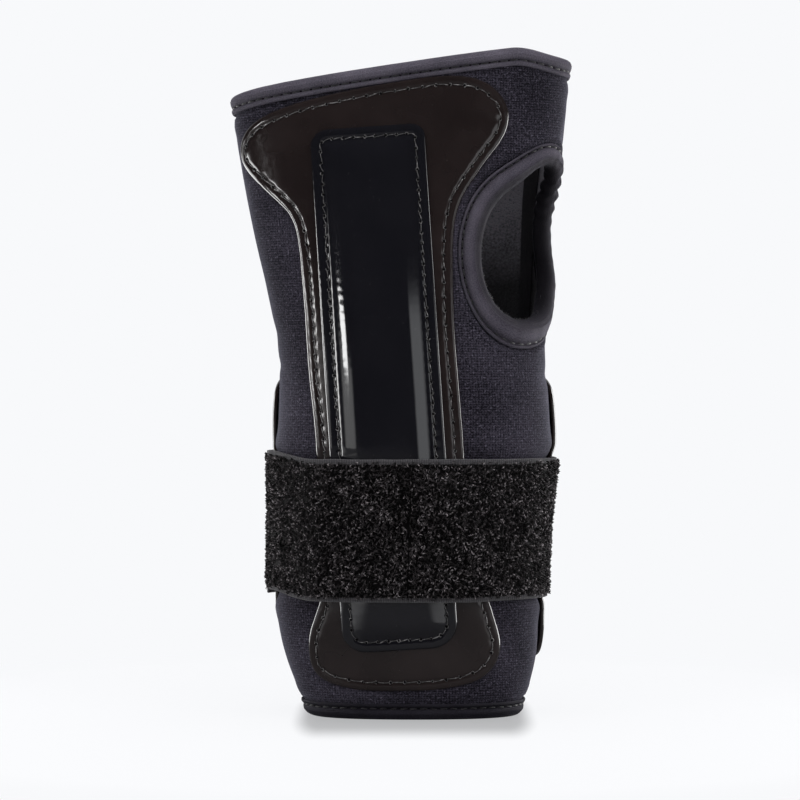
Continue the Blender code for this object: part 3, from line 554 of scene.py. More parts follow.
# ---------------------------------------------------------------- shader nodes
class Nodes:
    """Short hand for building a node tree."""

    def __init__(self, owner):
        owner.use_nodes = True
        self.owner = owner
        self.tree = owner.node_tree
        self.shader = self.tree.nodes.get("Principled BSDF")

    def put(self, socket, value):
        if isinstance(value, bpy.types.NodeSocket):
            self.tree.links.new(value, socket)
        else:
            socket.default_value = value

    def outputs(self, kind, inputs=None, **settings):
        node = self.tree.nodes.new(kind)
        for key, value in settings.items():
            setattr(node, key, value)
        for key, value in (inputs or {}).items():
            self.put(node.inputs[key], value)
        return node.outputs

    def add(self, kind, inputs=None, out=0, **settings):
        return self.outputs(kind, inputs, **settings)[out]

    def calc(self, operation, *values):
        return self.add("ShaderNodeMath", dict(enumerate(values)), operation=operation)

    def plus(self, a, b):
        return self.calc("ADD", a, b)

    def minus(self, a, b):
        return self.calc("SUBTRACT", a, b)

    def times(self, a, b):
        return self.calc("MULTIPLY", a, b)

    def total(self, first, second):
        """Sum of two (value, weight) pairs."""
        return self.plus(self.times(*first), self.times(*second))

    def scale(self, vector, by):
        return self.add("ShaderNodeVectorMath", {0: vector, "Scale": by}, operation="SCALE")

    def uv_mm(self):
        """The mm map: as a vector, and its two coordinates."""
        vector = self.scale(self.add("ShaderNodeUVMap", uv_map="mm"), by=1000.0)
        split = self.outputs("ShaderNodeSeparateXYZ", {0: vector})
        return vector, split[0], split[1]

    def place_mm(self):
        """Object coordinates in millimetres."""
        return self.scale(self.add("ShaderNodeTexCoord", out=3), by=1000.0)

    def tone(self):
        """The value stored on each point: a random tone on some pieces, painted shade and light
        on others.
        """
        return self.add("ShaderNodeAttribute", out=2, attribute_name="tone")

    def noise(self, vector, scale, detail=2.0, rough=0.5):
        inputs = {"Vector": vector, "Scale": scale, "Detail": detail, "Roughness": rough}
        return self.add("ShaderNodeTexNoise", inputs)

    def wave(self, vector, scale, distortion, detail=2.0, **settings):
        inputs = {"Vector": vector, "Scale": scale, "Distortion": distortion, "Detail": detail}
        colour = self.add("ShaderNodeTexWave", inputs, **settings)
        return self.add("ShaderNodeSeparateColor", {0: colour})

    def ramp(self, value, stops):
        """Colour ramp through (position, colour) stops."""
        node = self.tree.nodes.new("ShaderNodeValToRGB")
        self.put(node.inputs[0], value)
        elements = node.color_ramp.elements
        while len(elements) < len(stops):
            elements.new(0.5)
        for element, (position, colour) in zip(elements, stops, strict=True):
            element.position = position
            element.color = (*colour, 1)
        return node.outputs[0]

    def shade(self, value, dark, light):
        return self.ramp(value, [(0, dark), (1, light)])

    def span(self, value, between, to=(0.0, 1.0), smooth=False):
        """Maps one range onto another."""
        return self.add(
            "ShaderNodeMapRange",
            {0: value, 1: between[0], 2: between[1], 3: to[0], 4: to[1]},
            interpolation_type="SMOOTHSTEP" if smooth else "LINEAR",
        )

    def stripes(self, coordinate, pitch):
        wave = self.calc("SINE", self.times(coordinate, 2 * math.pi / pitch))
        return self.span(wave, between=(-1, 1))

    def mix_colour(self, factor, first, second):
        return self.add(
            "ShaderNodeMix", {0: factor, 6: first, 7: second}, out=2, data_type="RGBA"
        )

    def mix_shader(self, factor, first, second):
        return self.add("ShaderNodeMixShader", {0: factor, 1: first, 2: second})

    def emission(self, colour, strength=1.0):
        return self.add("ShaderNodeEmission", {"Color": (*colour, 1), "Strength": strength})

    def bump(self, height, strength, distance):
        inputs = {"Height": height, "Strength": strength, "Distance": distance}
        return self.add("ShaderNodeBump", inputs)

    def finish(self, **inputs):
        for key, value in inputs.items():
            self.put(self.shader.inputs[key.replace("_", " ")], value)
        return self.owner

    def show(self, shader):
        """Sends a shader to the material's output."""
        self.put(self.tree.nodes["Material Output"].inputs[0], shader)


def new_material(name):
    return Nodes(bpy.data.materials.new(name))


def scaled(colour, by):
    return tuple(by * channel for channel in colour)


# ---------------------------------------------------------------- materials
def neoprene_knit(dark, light):
    """Jersey knit: rows of small V stitches, yarn fuzz and light flecks."""
    mat = new_material("neoprene_knit")
    place, arc, z = mat.uv_mm()
    course, wale = 0.85, 0.95  # height and width of a stitch
    zigzag = mat.calc("ABSOLUTE", mat.calc("SINE", mat.times(arc, math.pi / wale)))
    phase = mat.total((z, 2 * math.pi / course), (zigzag, 1.7))
    # the phase has no weight of its own on z beyond the course
    rows = mat.span(mat.calc("SINE", phase), between=(-1.0, 1.0))
    yarn = mat.noise(place, scale=1.75, detail=3.0, rough=0.7)
    fuzz = mat.noise(place, scale=0.8)
    broad = mat.noise(place, scale=0.035)
    height = mat.total((rows, 0.28), (yarn, 1.1))
    tone = mat.plus(mat.total((yarn, 0.56), (rows, 0.07)), mat.total((fuzz, 0.22), (broad, 0.25)))
    # painted shade: the knit is darker in the valleys between its wales
    valley_shade = mat.calc("POWER", mat.minus(1.0, zigzag), 3.0)
    tone = mat.minus(tone, mat.times(valley_shade, 0.08))
    tone = mat.span(tone, between=(0.455, 0.765))
    fleck = mat.noise(place, scale=1.35, detail=1.0, rough=0.4)
    glint = mat.span(fleck, between=(0.60, 0.72), to=(0.0, 0.55))
    stops = [(0.0, dark), (0.65, light), (1.0, scaled(light, by=1.9))]
    return mat.finish(
        Base_Color=mat.ramp(mat.plus(tone, glint), stops),
        Roughness=mat.span(yarn, between=(0.3, 0.7), to=(0.80, 0.92)),
        Normal=mat.bump(height, strength=0.55, distance=0.00022),
        Sheen_Weight=0.3,
        Sheen_Roughness=0.45,
        Sheen_Tint=(0.82, 0.82, 1.0, 1),
        Specular_IOR_Level=0.02,
    )


def tape_material(name, dark, light):
    """Stretch tape: fine ribs, a little smoother than the knit, with painted shade and light from
    its stored tone.
    """
    mat = new_material(name)
    place, arc, z = mat.uv_mm()
    rib, cross = mat.stripes(arc, pitch=0.55), mat.stripes(z, pitch=0.6)
    yarn = mat.noise(place, scale=2.2, detail=3.0, rough=0.6)
    height = mat.total((rib, mat.plus(cross, 0.4)), (yarn, 0.8))
    tone = mat.total((yarn, 0.8), (mat.noise(place, scale=0.08), 0.4))
    cloth = mat.shade(mat.span(tone, between=(0.35, 0.85)), dark, light)
    return mat.finish(
        Base_Color=mat.scale(cloth, by=mat.tone()),
        Roughness=mat.span(yarn, between=(0.3, 0.7), to=(0.62, 0.8)),
        Normal=mat.bump(height, strength=0.4, distance=0.00014),
        Sheen_Weight=0.06,
        Sheen_Roughness=0.4,
        Sheen_Tint=(0.85, 0.85, 1.0, 1),
        Specular_IOR_Level=0.04,
    )


def fleece_material(dark, light):
    """Tufted lining, with painted shade low in the sleeve and painted light higher up."""
    mat = new_material("fleece_lining")
    place, _, z = mat.uv_mm()
    tuft = mat.noise(place, scale=1.1, detail=4.0, rough=0.65)
    broad = mat.noise(place, scale=0.09)
    tone = mat.span(mat.plus(tuft, mat.times(broad, 0.4)), between=(0.4, 0.95))
    # painted shade and light: the lining darkens low in the sleeve and lightens higher up, where
    # more light reaches it
    tone = mat.times(tone, mat.span(z, between=(148.0, 182.0), to=(0.17, 2.3)))
    return mat.finish(
        Base_Color=mat.shade(tone, dark, light),
        Roughness=0.95,
        Normal=mat.bump(tuft, strength=0.8, distance=0.0005),
        Sheen_Weight=0.12,
        Sheen_Roughness=0.6,
        Specular_IOR_Level=0.02,
    )


def gloss_material(name, dark, light, rough, coat, mottle):
    """Coated sheet: deep, slightly uneven gloss with faint handling marks and dust."""
    mat = new_material(name)
    place = mat.place_mm()
    broad = mat.noise(place, scale=0.045, detail=3.0)
    mid = mat.noise(place, scale=0.5, detail=3.0, rough=0.55)
    stretched = mat.add(
        "ShaderNodeMapping",
        {"Vector": place, "Rotation": (0.2, 0.5, 0.35), "Scale": (0.25, 0.25, 3.0)},
    )
    scuff = mat.span(
        mat.noise(stretched, scale=1.2, detail=4.0, rough=0.7), between=(0.62, 0.75)
    )
    speck = mat.span(mat.noise(place, scale=1.6), between=(0.735, 0.78))
    base = mat.shade(mat.span(broad, between=(0.35, 0.65)), dark, light)
    even_rough = mat.span(mid, between=(0.3, 0.7), to=(rough * 0.75, rough * 1.35))
    height = mat.total((broad, 1.0), (mid, 0.12))
    return mat.finish(
        Base_Color=mat.mix_colour(mat.times(speck, 0.35), base, (0.12, 0.115, 0.11, 1)),
        Roughness=mat.plus(even_rough, mat.times(scuff, 0.06)),
        Coat_Weight=coat,
        Coat_Roughness=0.05,
        Normal=mat.bump(height, strength=mottle, distance=0.0006),
        Specular_IOR_Level=0.5,
    )


def thread_material(name, dark, light):
    mat = new_material(name)
    place = mat.place_mm()
    ply = mat.wave(place, scale=1.1, distortion=1.5, detail=1.0)
    tone = mat.span(mat.noise(place, scale=0.85), between=(0.36, 0.74))
    return mat.finish(
        Base_Color=mat.ramp(tone, [(0, dark), (0.45, scaled(light, by=0.25)), (1, light)]),
        Roughness=0.55,
        Normal=mat.bump(ply, strength=0.5, distance=0.00012),
        Sheen_Weight=0.2,
    )


def hole_shade_material(dark, light):
    mat = new_material("needle_hole")
    return mat.finish(
        Base_Color=mat.shade(mat.noise(mat.place_mm(), scale=1.0), dark, light),
        Roughness=0.9,
        Specular_IOR_Level=0.1,
    )


def pile_material(name, dark, mid, light):
    """Loop pile: each loop's tone is stored on it, with painted shade darker at the root."""
    mat = new_material(name)
    place = mat.place_mm()
    patchy = mat.noise(place, scale=0.16, detail=3.0, rough=0.6)
    tone = mat.plus(mat.tone(), mat.times(mat.minus(patchy, 0.5), 0.5))
    return mat.finish(
        Base_Color=mat.ramp(tone, [(0.0, dark), (0.5, mid), (1.0, light)]),
        Roughness=0.7,
        Sheen_Weight=0.05,
        Sheen_Roughness=0.5,
        Specular_IOR_Level=0.03,
        Normal=mat.bump(mat.noise(place, scale=3.0), strength=0.4, distance=0.0001),
    )


def webbing_material(dark, light):
    mat = new_material("elastic_webbing")
    place, arc, z = mat.uv_mm()
    warp, weft = mat.stripes(arc, pitch=0.75), mat.stripes(z, pitch=0.5)
    yarn = mat.noise(place, scale=1.9, detail=3.0, rough=0.6)
    height = mat.total((warp, weft), (yarn, 0.7))
    tone = mat.total((mat.times(warp, weft), 0.5), (yarn, 0.8))
    return mat.finish(
        Base_Color=mat.shade(mat.span(tone, between=(0.25, 0.9)), dark, light),
        Roughness=0.8,
        Normal=mat.bump(height, strength=0.6, distance=0.0002),
        Sheen_Weight=0.25,
        Specular_IOR_Level=0.04,
    )


def plastic_material(name, dark, light, rough):
    mat = new_material(name)
    place = mat.place_mm()
    grain = mat.noise(place, scale=1.5, detail=4.0, rough=0.6)
    return mat.finish(
        Base_Color=mat.ramp(mat.noise(place, scale=0.1), [(0.3, dark), (0.7, light)]),
        Roughness=mat.span(grain, between=(0.3, 0.7), to=(rough - 0.07, rough + 0.07)),
        Normal=mat.bump(grain, strength=0.2, distance=0.0001),
    )


def seam_tape_material(dark, light):
    """Ribbed tape placed by the object's own coordinates."""
    mat = new_material("seam_tape")
    place = mat.place_mm()
    yarn = mat.noise(place, scale=1.8, detail=3.0, rough=0.6)
    rib = mat.wave(place, scale=0.9, distortion=0.6, bands_direction="Z")
    return mat.finish(
        Base_Color=mat.ramp(yarn, [(0.3, dark), (0.7, light)]),
        Roughness=0.8,
        Normal=mat.bump(rib, strength=0.4, distance=0.0002),
    )


# colours run from dark to light
NEOPRENE = neoprene_knit((0.0024, 0.0021, 0.0038), (0.061, 0.055, 0.074))
TAPE = tape_material("stretch_tape", (0.0220, 0.0200, 0.0276), (0.108, 0.098, 0.122))
# a darker copy of the tape: painted shade for the low forearm rim
SHADED_LOW_TAPE = tape_material("stretch_tape_painted_shade_low", (0.0070, 0.0064, 0.0092), (0.0275, 0.0255, 0.033))
# a lighter copy of the tape: painted light for the top finger rim
LIT_RIM_TAPE = tape_material("stretch_tape_painted_light_rim", (0.0270, 0.0246, 0.0335), (0.132, 0.120, 0.148))
FLEECE = fleece_material((0.004, 0.004, 0.0045), (0.130, 0.124, 0.142))
VINYL = gloss_material(
    "gloss_vinyl", (0.0140, 0.0101, 0.0099), (0.0215, 0.0158, 0.0153),
    rough=0.12, coat=0.0, mottle=0.12,
)
FILM = gloss_material(
    "gloss_film", (0.0074, 0.0074, 0.0098), (0.0096, 0.0094, 0.0120),
    rough=0.07, coat=0.20, mottle=0.07,
)
THREAD = thread_material("grey_thread", (0.022, 0.020, 0.021), (0.34, 0.33, 0.33))
LINING_HAIR = thread_material("lining_hair", (0.03, 0.028, 0.034), (0.09, 0.085, 0.10))
DARK_THREAD = thread_material("dark_thread", (0.010, 0.009, 0.012), (0.030, 0.028, 0.034))
# near black: painted shade for the depth of each needle hole
HOLE_SHADE = hole_shade_material((0.002, 0.002, 0.002), (0.006, 0.005, 0.006))
PILE = pile_material(
    "loop_pile", (0.0015, 0.0012, 0.0013), (0.0900, 0.0805, 0.0838), (0.400, 0.367, 0.380)
)
# near black bed between the loops: painted shade in the gaps of the pile
SHADED_BED = pile_material(
    "pile_bed_painted_shade", (0.0010, 0.0008, 0.0009), (0.0030, 0.0026, 0.0028), (0.007, 0.006, 0.0065)
)
WEBBING = webbing_material((0.022, 0.021, 0.023), (0.092, 0.088, 0.094))
SPLINT = plastic_material("splint_plastic", (0.04, 0.04, 0.045), (0.06, 0.06, 0.066), rough=0.45)
HOOKS = plastic_material("hook_plastic", (0.008, 0.008, 0.009), (0.016, 0.016, 0.018), rough=0.4)
SEAM_TAPE = seam_tape_material((0.006, 0.0055, 0.007), (0.016, 0.015, 0.018))


# ---------------------------------------------------------------- sleeve panels
def sleeve_relief(spots):
    """How far the neoprene's face stands off the skin: folds, seams, the strap's squeeze."""
    arc, z = spots.T
    lap = arc / girth(z)
    relief = 0.30 * noise(spots, size=34, seed=1) + 0.16 * noise(spots, size=13, seed=2)
    # swelling above and below the strap
    wave = 1 + 0.5 * noise(spots * [1, 0.2], size=18, seed=3)
    relief += wave * bell(z, at=STRAP_BOTTOM + STRAP_WIDTH + 4.5, width=3.6, height=0.75)
    relief += wave * bell(z, at=STRAP_BOTTOM - 4.0, width=3.4, height=0.6)
    # a groove and a swelling beside each rim tape
    rim = rim_z(lap) - z
    relief -= bell(rim, at=6.5, width=0.6, height=0.9) + bell(z, at=5.75, width=0.55, height=0.9)
    relief += bell(rim, at=10.5, width=2.2, height=0.35) + bell(z, at=9.2, width=2.0, height=0.3)
    # the same round the thumb opening, with pulled folds
    reach = thumb_reach(spots)
    pull = noise(circle(thumb_turn(spots)) * 14, size=2.1, seed=5)
    relief += (np.abs(lap) < 0.4) * (
        bell(reach, at=7.5, width=0.6, height=-1.0)
        + bell(reach, at=9.2, width=0.9, height=0.55)
        + pull * bell(reach, at=12.0, width=6.0, height=0.30)
    )
    # shallow creases where the wrist bends, on the two sides
    side = bell(np.abs(lap), at=0.235, width=0.06)
    wander = 6 * noise(spots, size=20, seed=6)
    relief -= side * (
        bell(z - wander, at=118, width=3.0, height=0.5) + bell(z, at=131, width=3.5, height=0.4)
    )
    return np.clip(relief, -1.6, 1.6)


# distances of the rings of points outside the thumb opening's edge
THUMB_RINGS = (
    1.3, 2.4, 3.6, 4.8, 6.0, 6.8, 7.4, 8.0, 8.8, 9.6, 10.4, 11.0, 11.6, 12.2, 13.2,
)


def sleeve_panel(name, start, end, thumb, node):
    """A panel of neoprene between two laps, with or without the thumb opening."""
    pitch, rows, end_gap = 1.35, 168, 1.7
    laps = np.linspace(start, end, max(8, int((end - start) * NOMINAL_GIRTH / pitch)))
    part = np.linspace(0, 1, rows)[:, None]
    z = end_gap + part * (rim_z(laps) - end_gap - end_gap)
    grid = join(laps * girth(z), z)
    outline = [grid[0], grid[1:, -1], grid[-1, ::-1][1:], grid[::-1, 0][1:-1]]
    loops, keep = [np.vstack(outline)], None
    spots = grid[1:-1, 1:-1].reshape(-1, 2)
    if thumb:
        hole, *rings = (thumb_oval(by, 132) for by in THUMB_RINGS)
        spots = spots[(thumb_reach(spots) > 13.9) | (np.abs(spots[:, 0]) > 110)]
        rings = np.vstack(rings)
        rings = rings[rings[:, 0] / girth(rings[:, 1]) < end - 0.003]
        loops.append(hole)
        spots = np.vstack([spots, rings])

        def keep(middles):
            return ~inside(middles, hole)

    spots, triangles = triangulate(loops, spots, keep)
    pull = thumb_pull(spots)
    outer = sleeve_relief(spots) + pull
    inner = -SLEEVE_WALL + 0.12 * noise(spots, size=5, seed=9) + pull
    obj = shell(name, spots, triangles, outer, inner, [NEOPRENE, FLEECE])
    register(obj, "neoprene", node)


# ---------------------------------------------------------------- rim tapes
def rounded_tape(depth, seam, proud, fold, steps=9):
    """Section of a soft folded tape as (depth, off): outer lip, stitch line, roll, inner lip."""
    out = [(depth + 0.12, -0.9), (depth + 0.22, -0.2), (depth + 0.2, 0.3)]
    for part in np.linspace(0, 1, 6)[:-1]:
        bulge = 0.42 * math.sin(math.pi * (0.15 + 0.75 * part))
        out.append((depth * (1 - part) + seam * part, 0.42 + bulge))
    for part in np.linspace(0, 1, steps)[:-1]:
        crown = math.sin(math.pi * min(0.5, 0.04 + part * 0.46)) ** 0.8
        out.append((seam * (1 - part) + 1.6 * part, 0.36 + proud * crown))
    centre, radius = -SLEEVE_WALL / 2, SLEEVE_WALL / 2 + 0.30 + proud * 0.95
    for k in range(11):
        angle = math.pi / 2 - math.pi * k / 10
        out.append((1.9 - fold * math.cos(angle), centre + radius * math.sin(angle)))
    for k in range(1, steps):
        part = k / steps
        bulge = 0.75 * math.sin(math.pi * (0.5 + 0.45 * part)) ** 0.8
        out.append((1.6 * (1 - part) + depth * part, -SLEEVE_WALL - 0.30 - bulge))
    return out + [(depth + 0.1, -SLEEVE_WALL - 0.2), (depth + 0.15, -SLEEVE_WALL + 0.3)]


def rim_tape(
    name, loop_at, profile, relief, node, tape, seam=4.3, inner_painted_shade=0.6, shade_from=1.5,
    shade_over=4.0,
):
    """A soft ring of tape: loop_at(depth) gives its loops, relief adds puckers, and a stored tone
    paints shade and light onto it.
    """
    profile = np.array(profile)
    depths, offs = profile.T
    steps = len(profile)
    loops = [loop_at(depth) for depth in depths]
    count = len(loops[0])
    along = run_along(loops[0])
    points = []
    for i, (depth, off, loop) in enumerate(zip(depths, offs, loops, strict=True)):
        side = 1.0 if i < steps / 2 else -1.0
        points.append(skin(loop, off + side * relief(along, depth, loop) + thumb_pull(loop)))
    uv = join(along[:, None], run_along(profile)).reshape(-1, 2)
    faces = grid_faces(count, steps, wrap_rows=True, wrap_columns=True)[:, [0, 3, 2, 1]]
    # painted shade darker in the seam and on the inside of the fold, painted light on the crown
    # of the roll
    fold_at = int(np.argmin(depths[3:-3])) + 3
    place = np.arange(steps)
    crown = 1.12 - bell(depths, at=seam, width=0.9, height=0.5)
    tone = np.where(place < fold_at, crown, 1.0)
    tone = tone * (1 - inner_painted_shade * ease((place - fold_at + shade_from) / shade_over))
    tone = np.tile(np.clip(tone, 0.12, 1.2), count)
    obj = make_mesh(name, np.stack(points, 1), [faces], [tape], uv=uv, tone=tone)
    register(obj, "binding_tape", node)


def seam_dent(depth, seam):
    return bell(depth, at=seam, width=0.42, height=-0.75)


def pucker(amount, seam, seed):
    """Relief of a straight rim tape: soft waves, and a dent that beats with the stitches."""

    def relief(along, depth, loop):
        wave = noise(join(along, depth * 0.6), size=4.2, seed=seed)
        soft = noise(join(along, 0.0), size=14, seed=seed + 1)
        beat = 0.75 + 0.25 * np.cos(along * 2 * math.pi / 3.4)
        return amount * wave + 0.10 * soft + seam_dent(depth, seam) * beat

    return relief


def thumb_gathers(along, depth, loop):
    """Relief of the thumb roll: gathers, strongest up on the thumb side, and a full bottom."""
    angle = thumb_turn(loop)
    way = circle(angle)
    waves = np.sin(angle * 41 + 3.0 * np.sin(angle * 3))
    fine = waves * 0.5 + noise(way, size=0.11, seed=31)
    fade = ease((THUMB_BINDING_DEPTH + 0.6 - depth) / 3.0)
    gather = 0.07 + angle_bell(angle, at=0.85, width=0.42, height=0.62)
    bottom = angle_bell(angle, at=-1.45, width=0.8, height=0.75) * fade
    soft = 0.22 * noise(way, size=0.4, seed=33)
    return gather * fine * fade + soft + bottom + seam_dent(depth, THUMB_SEAM)


def build_sleeve():
    seam_gap = 0.0004  # in laps
    sleeve_panel("sleeve_back_of_hand", SEAM_ULNAR, SEAM_THUMB, True, "sleeve_dorsal_panel")
    sleeve_panel(
        "sleeve_palm_side", SEAM_THUMB + seam_gap, 1 + SEAM_ULNAR - seam_gap, False,
        "sleeve_palm_panel",
    )
    laps = np.linspace(-0.5, 0.5, 420, endpoint=False)

    def at_forearm(depth):
        return join(laps * girth(depth), depth)

    def at_fingers(depth):
        z = rim_z(laps) - depth
        return join(laps * girth(z), z)[::-1]

    def at_thumb(depth):
        return thumb_oval(depth, 300)[::-1]

    rim_tape(
        "forearm_rim_tape", at_forearm,
        rounded_tape(depth=5.3, seam=FOREARM_SEAM, proud=0.85, fold=1.9),
        pucker(amount=0.10, seam=FOREARM_SEAM, seed=21), "forearm_opening_binding", SHADED_LOW_TAPE,
    )
    rim_tape(
        "finger_rim_tape", at_fingers,
        rounded_tape(depth=6.0, seam=FINGER_SEAM, proud=0.85, fold=2.0),
        pucker(amount=0.12, seam=FINGER_SEAM, seed=24), "finger_opening_binding", LIT_RIM_TAPE,
    )
    # the thumb roll's inside is painted in deep shade
    rim_tape(
        "thumb_rim_roll", at_thumb,
        rounded_tape(depth=7.1, seam=THUMB_SEAM, proud=1.75, fold=2.6, steps=14),
        thumb_gathers, "thumb_opening_binding", TAPE,
        seam=THUMB_SEAM, inner_painted_shade=0.88, shade_from=12.0, shade_over=12.5,
    )


def build_lining_hairs():
    """Short hairs of the lining standing out past the thumb roll's inner edge."""
    random = np.random.default_rng(55)
    count, places = 420, 720
    angle = random.normal(-2.05, 0.62, count) % (2 * math.pi)
    root = thumb_oval(0.0, places)[(angle / (2 * math.pi) * places).astype(int) % places]
    inward = unit(THUMB_CENTRE - root)
    part = np.linspace(0, 1, 5)
    reach = random.uniform(0.5, 1.9, (count, 1))
    bend = random.normal(0, 0.5, (count, 1))
    spots = (
        root[:, None]
        + inward[:, None] * (part * reach - 0.4)[..., None]
        + quarter_turn(inward)[:, None] * (part**2 * bend)[..., None]
    )
    off = -1.6 + random.normal(0, 0.5, (count, 1)) - part * random.uniform(-0.5, 1.2, (count, 1))
    lines = skin(spots, off)
    obj = tubes("thumb_fleece_hairs", lines, 0.06 * (1 - 0.5 * part), 3, LINING_HAIR)
    register(obj, "binding_tape")


# ---------------------------------------------------------------- stitches
def stitches(
    name, line, node, pitch, length, off, radius, slant=0.0, lift=0.3, closed=True, knots=True
):
    """Stitches along a line of spots, each from one needle hole to the next.

    off is a stand-off or gives one from spots. Knotted stitches are of grey thread, with a loop
    of it round each hole; the others are of dark thread.
    """
    material = THREAD if knots else DARK_THREAD
    radius = radius * (0.82 if knots else 1.0)
    wobble = 0.42 if knots else 0.16
    if closed:
        line = close(line)
    run = run_along(line)
    count = int(round(run[-1] / pitch))
    real_pitch = run[-1] / count
    length = length * real_pitch / pitch
    level = off if callable(off) else lambda spots: off

    def on_line(at):
        """Spots and directions at distances along the line."""
        at = at % run[-1]
        here = interpolate(at, run, line)
        way = interpolate((at + 0.2) % run[-1], run, line) - here
        norm = np.linalg.norm(way, axis=-1, keepdims=True)
        fine = (norm > 1e-6) & (norm < 1.0)  # not where an open line's ends meet
        return here, np.where(fine, way / np.maximum(norm, 1e-9), [1.0, 0.0])

    hole_at = np.arange(count) * real_pitch
    hole_at = hole_at + STITCH_RANDOM.normal(0, real_pitch * 0.035, count)
    part = np.linspace(0, 1, 7)
    here, way = on_line(hole_at[:, None] + (real_pitch - length) / 2 + part * length)
    swing = (part - 0.5) * (slant + STITCH_RANDOM.normal(0, wobble, (count, 1)))
    phase = STITCH_RANDOM.uniform(0, 6, (count, 1))
    swing = swing + 0.10 * np.sin(math.pi * part + phase)
    spots = here + quarter_turn(way) * swing[..., None]
    bow = np.sin(math.pi * part)
    arch = lift * bow**0.6 - 0.45 * (1 - bow) ** 3
    lines = skin(spots, level(spots) + arch)
    points, quads, caps = tube_mesh(lines, radius * (0.8 + 0.2 * bow), 6)
    faces = [quads, caps]
    holes, _ = on_line(hole_at)
    if knots:
        part = np.linspace(0, 1, 8)
        sweep = np.radians(STITCH_RANDOM.uniform(190, 300, (count, 1))) * part
        angle = STITCH_RANDOM.uniform(0, 2 * math.pi, (count, 1)) + sweep
        reach = STITCH_RANDOM.uniform(0.40, 0.56, (count, 1, 1))
        spots = holes[:, None] + reach * circle(angle) * [1, 1.1]
        bow = np.sin(math.pi * part) ** 0.5
        rise = STITCH_RANDOM.uniform(0.08, 0.30, (count, 1)) * bow - 0.02
        lines = skin(spots, level(spots) + 0.14 + rise)
        knot_points, knot_quads, knot_caps = tube_mesh(lines, radius * 0.78, 5)
        first = len(points)
        points = np.vstack([points, knot_points])
        faces = [np.vstack([quads, knot_quads + first]), caps, knot_caps + first]
    register(make_mesh(name, points, faces, [material]), "thread", node)
    needle_holes(name + "_holes", holes, level, 0.46 if knots else radius * 1.2)


def needle_holes(name, holes, level, radius, sides=9):
    """Small dark double cones, one at each needle hole: painted shade standing in for the hole's
    depth.
    """
    count = len(holes)
    edge = holes[:, None] + radius * circle(np.arange(sides) * 2 * math.pi / sides)
    tips = [skin(holes, level(holes) + off) for off in (0.06, -0.5)]
    points = np.vstack([skin(edge, level(edge) + 0.10).reshape(-1, 3), *tips])
    i, j = np.arange(count)[:, None], np.arange(sides)
    here, after = i * sides + j, i * sides + (j + 1) % sides
    top = count * sides + i
    faces = np.vstack([
        join(here, after, top).reshape(-1, 3),
        join(after, here, top + count).reshape(-1, 3),
    ])
    register(make_mesh(name, points, [faces], [HOLE_SHADE]), "thread")


def build_seams():
    """Stitching of the rims and of the thumb opening, and zigzags over the panel seams."""
    laps = np.linspace(-0.5, 0.5, 501)
    for side, z in (("forearm", FOREARM_SEAM), ("finger", rim_z(laps) - FINGER_SEAM)):
        stitches(
            f"{side}_rim_stitches", join(laps * girth(z), z), f"{side}_binding_thread",
            pitch=3.4, length=2.5, off=0.10, radius=0.27, closed=False, knots=False,
        )
    stitches(
        "thumb_rim_stitches", thumb_oval(THUMB_SEAM, 300), "thumb_binding_thread",
        pitch=3.3, length=2.4, off=lambda spots: 0.12 + thumb_pull(spots), radius=0.29,
        lift=0.33, knots=False,
    )
    half_zigzag, pitch = 1.35, 0.85
    for name, lap in (("ulnar_flat_seam", SEAM_ULNAR), ("thumb_side_flat_seam", SEAM_THUMB)):
        z = np.arange(8.0, float(rim_z(lap)) - 7.5, pitch)
        side = np.where(np.arange(len(z)) % 2 == 0, -half_zigzag, half_zigzag)
        spots = join(lap * girth(z) + side, z)
        between = (spots[:-1] + spots[1:]) / 2
        ends = skin(spots, sleeve_relief(spots) + 0.05)
        mids = skin(between, sleeve_relief(between) + 0.36)
        start, end = ends[:-1], ends[1:]
        lines = np.stack([start, (start + mids) / 2, mids, (mids + end) / 2, end], 1)
        register(tubes(name, lines, 0.19, 5, DARK_THREAD), "thread")


# ---------------------------------------------------------------- glossy sheets
def sheet(name, loop_at, depths, top, low, pitch, material, node, slot):
    """A closed sheet: rings of points from its edge inwards, the middle filled.

    top and low give the stand-offs of its two faces from spots and depths.
    """
    rings = [loop_at(depth) for depth in depths]
    last, count = rings[-1], len(rings[-1])
    quads = grid_faces(len(rings), count, wrap_columns=True)
    low_corner, high_corner = last.min(0), last.max(0)
    axes = (np.arange(low_corner[k], high_corner[k], pitch) for k in range(2))
    middle = join(*np.meshgrid(*axes)).reshape(-1, 2)
    middle = middle[inside(middle, last)]
    middle = middle[nearest(middle, last)[0] > pitch * 0.55]
    filled, triangles = triangulate([last], middle)
    # the triangulation keeps the loop's points: find each again by place
    first = (len(rings) - 1) * count
    ring_index = {
        (round(float(x), 3), round(float(z), 3)): first + i for i, (x, z) in enumerate(last)
    }
    renumber, extra = np.zeros(len(filled), int), []
    nudges = (0, -0.001, 0.001)
    for i, spot in enumerate(filled):
        x, z = (round(float(value), 3) for value in spot)
        keys = [(round(x + dx, 3), round(z + dz, 3)) for dx in nudges for dz in nudges]
        known = [ring_index[key] for key in keys if key in ring_index]
        if known:
            renumber[i] = known[0]
        else:
            renumber[i] = len(rings) * count + len(extra)
            extra.append(spot)
    triangles = renumber[triangles]
    extra = np.array(extra)
    spots = np.vstack([*rings, extra])
    depth = np.concatenate([np.repeat(depths, count), depths[-1] + nearest(extra, last)[0]])
    total = len(spots)
    i = np.arange(count)
    after = (i + 1) % count
    wall = join(after, i, i + total, after + total)
    points = np.vstack([skin(spots, top(spots, depth)), skin(spots, low(spots, depth))])
    faces = [
        np.vstack([quads, quads[:, ::-1] + total, wall]),
        np.vstack([triangles, triangles[:, ::-1] + total]),
    ]
    obj = make_mesh(name, points, faces, [material], uv=np.vstack([spots, spots]))
    register(obj, slot, node)


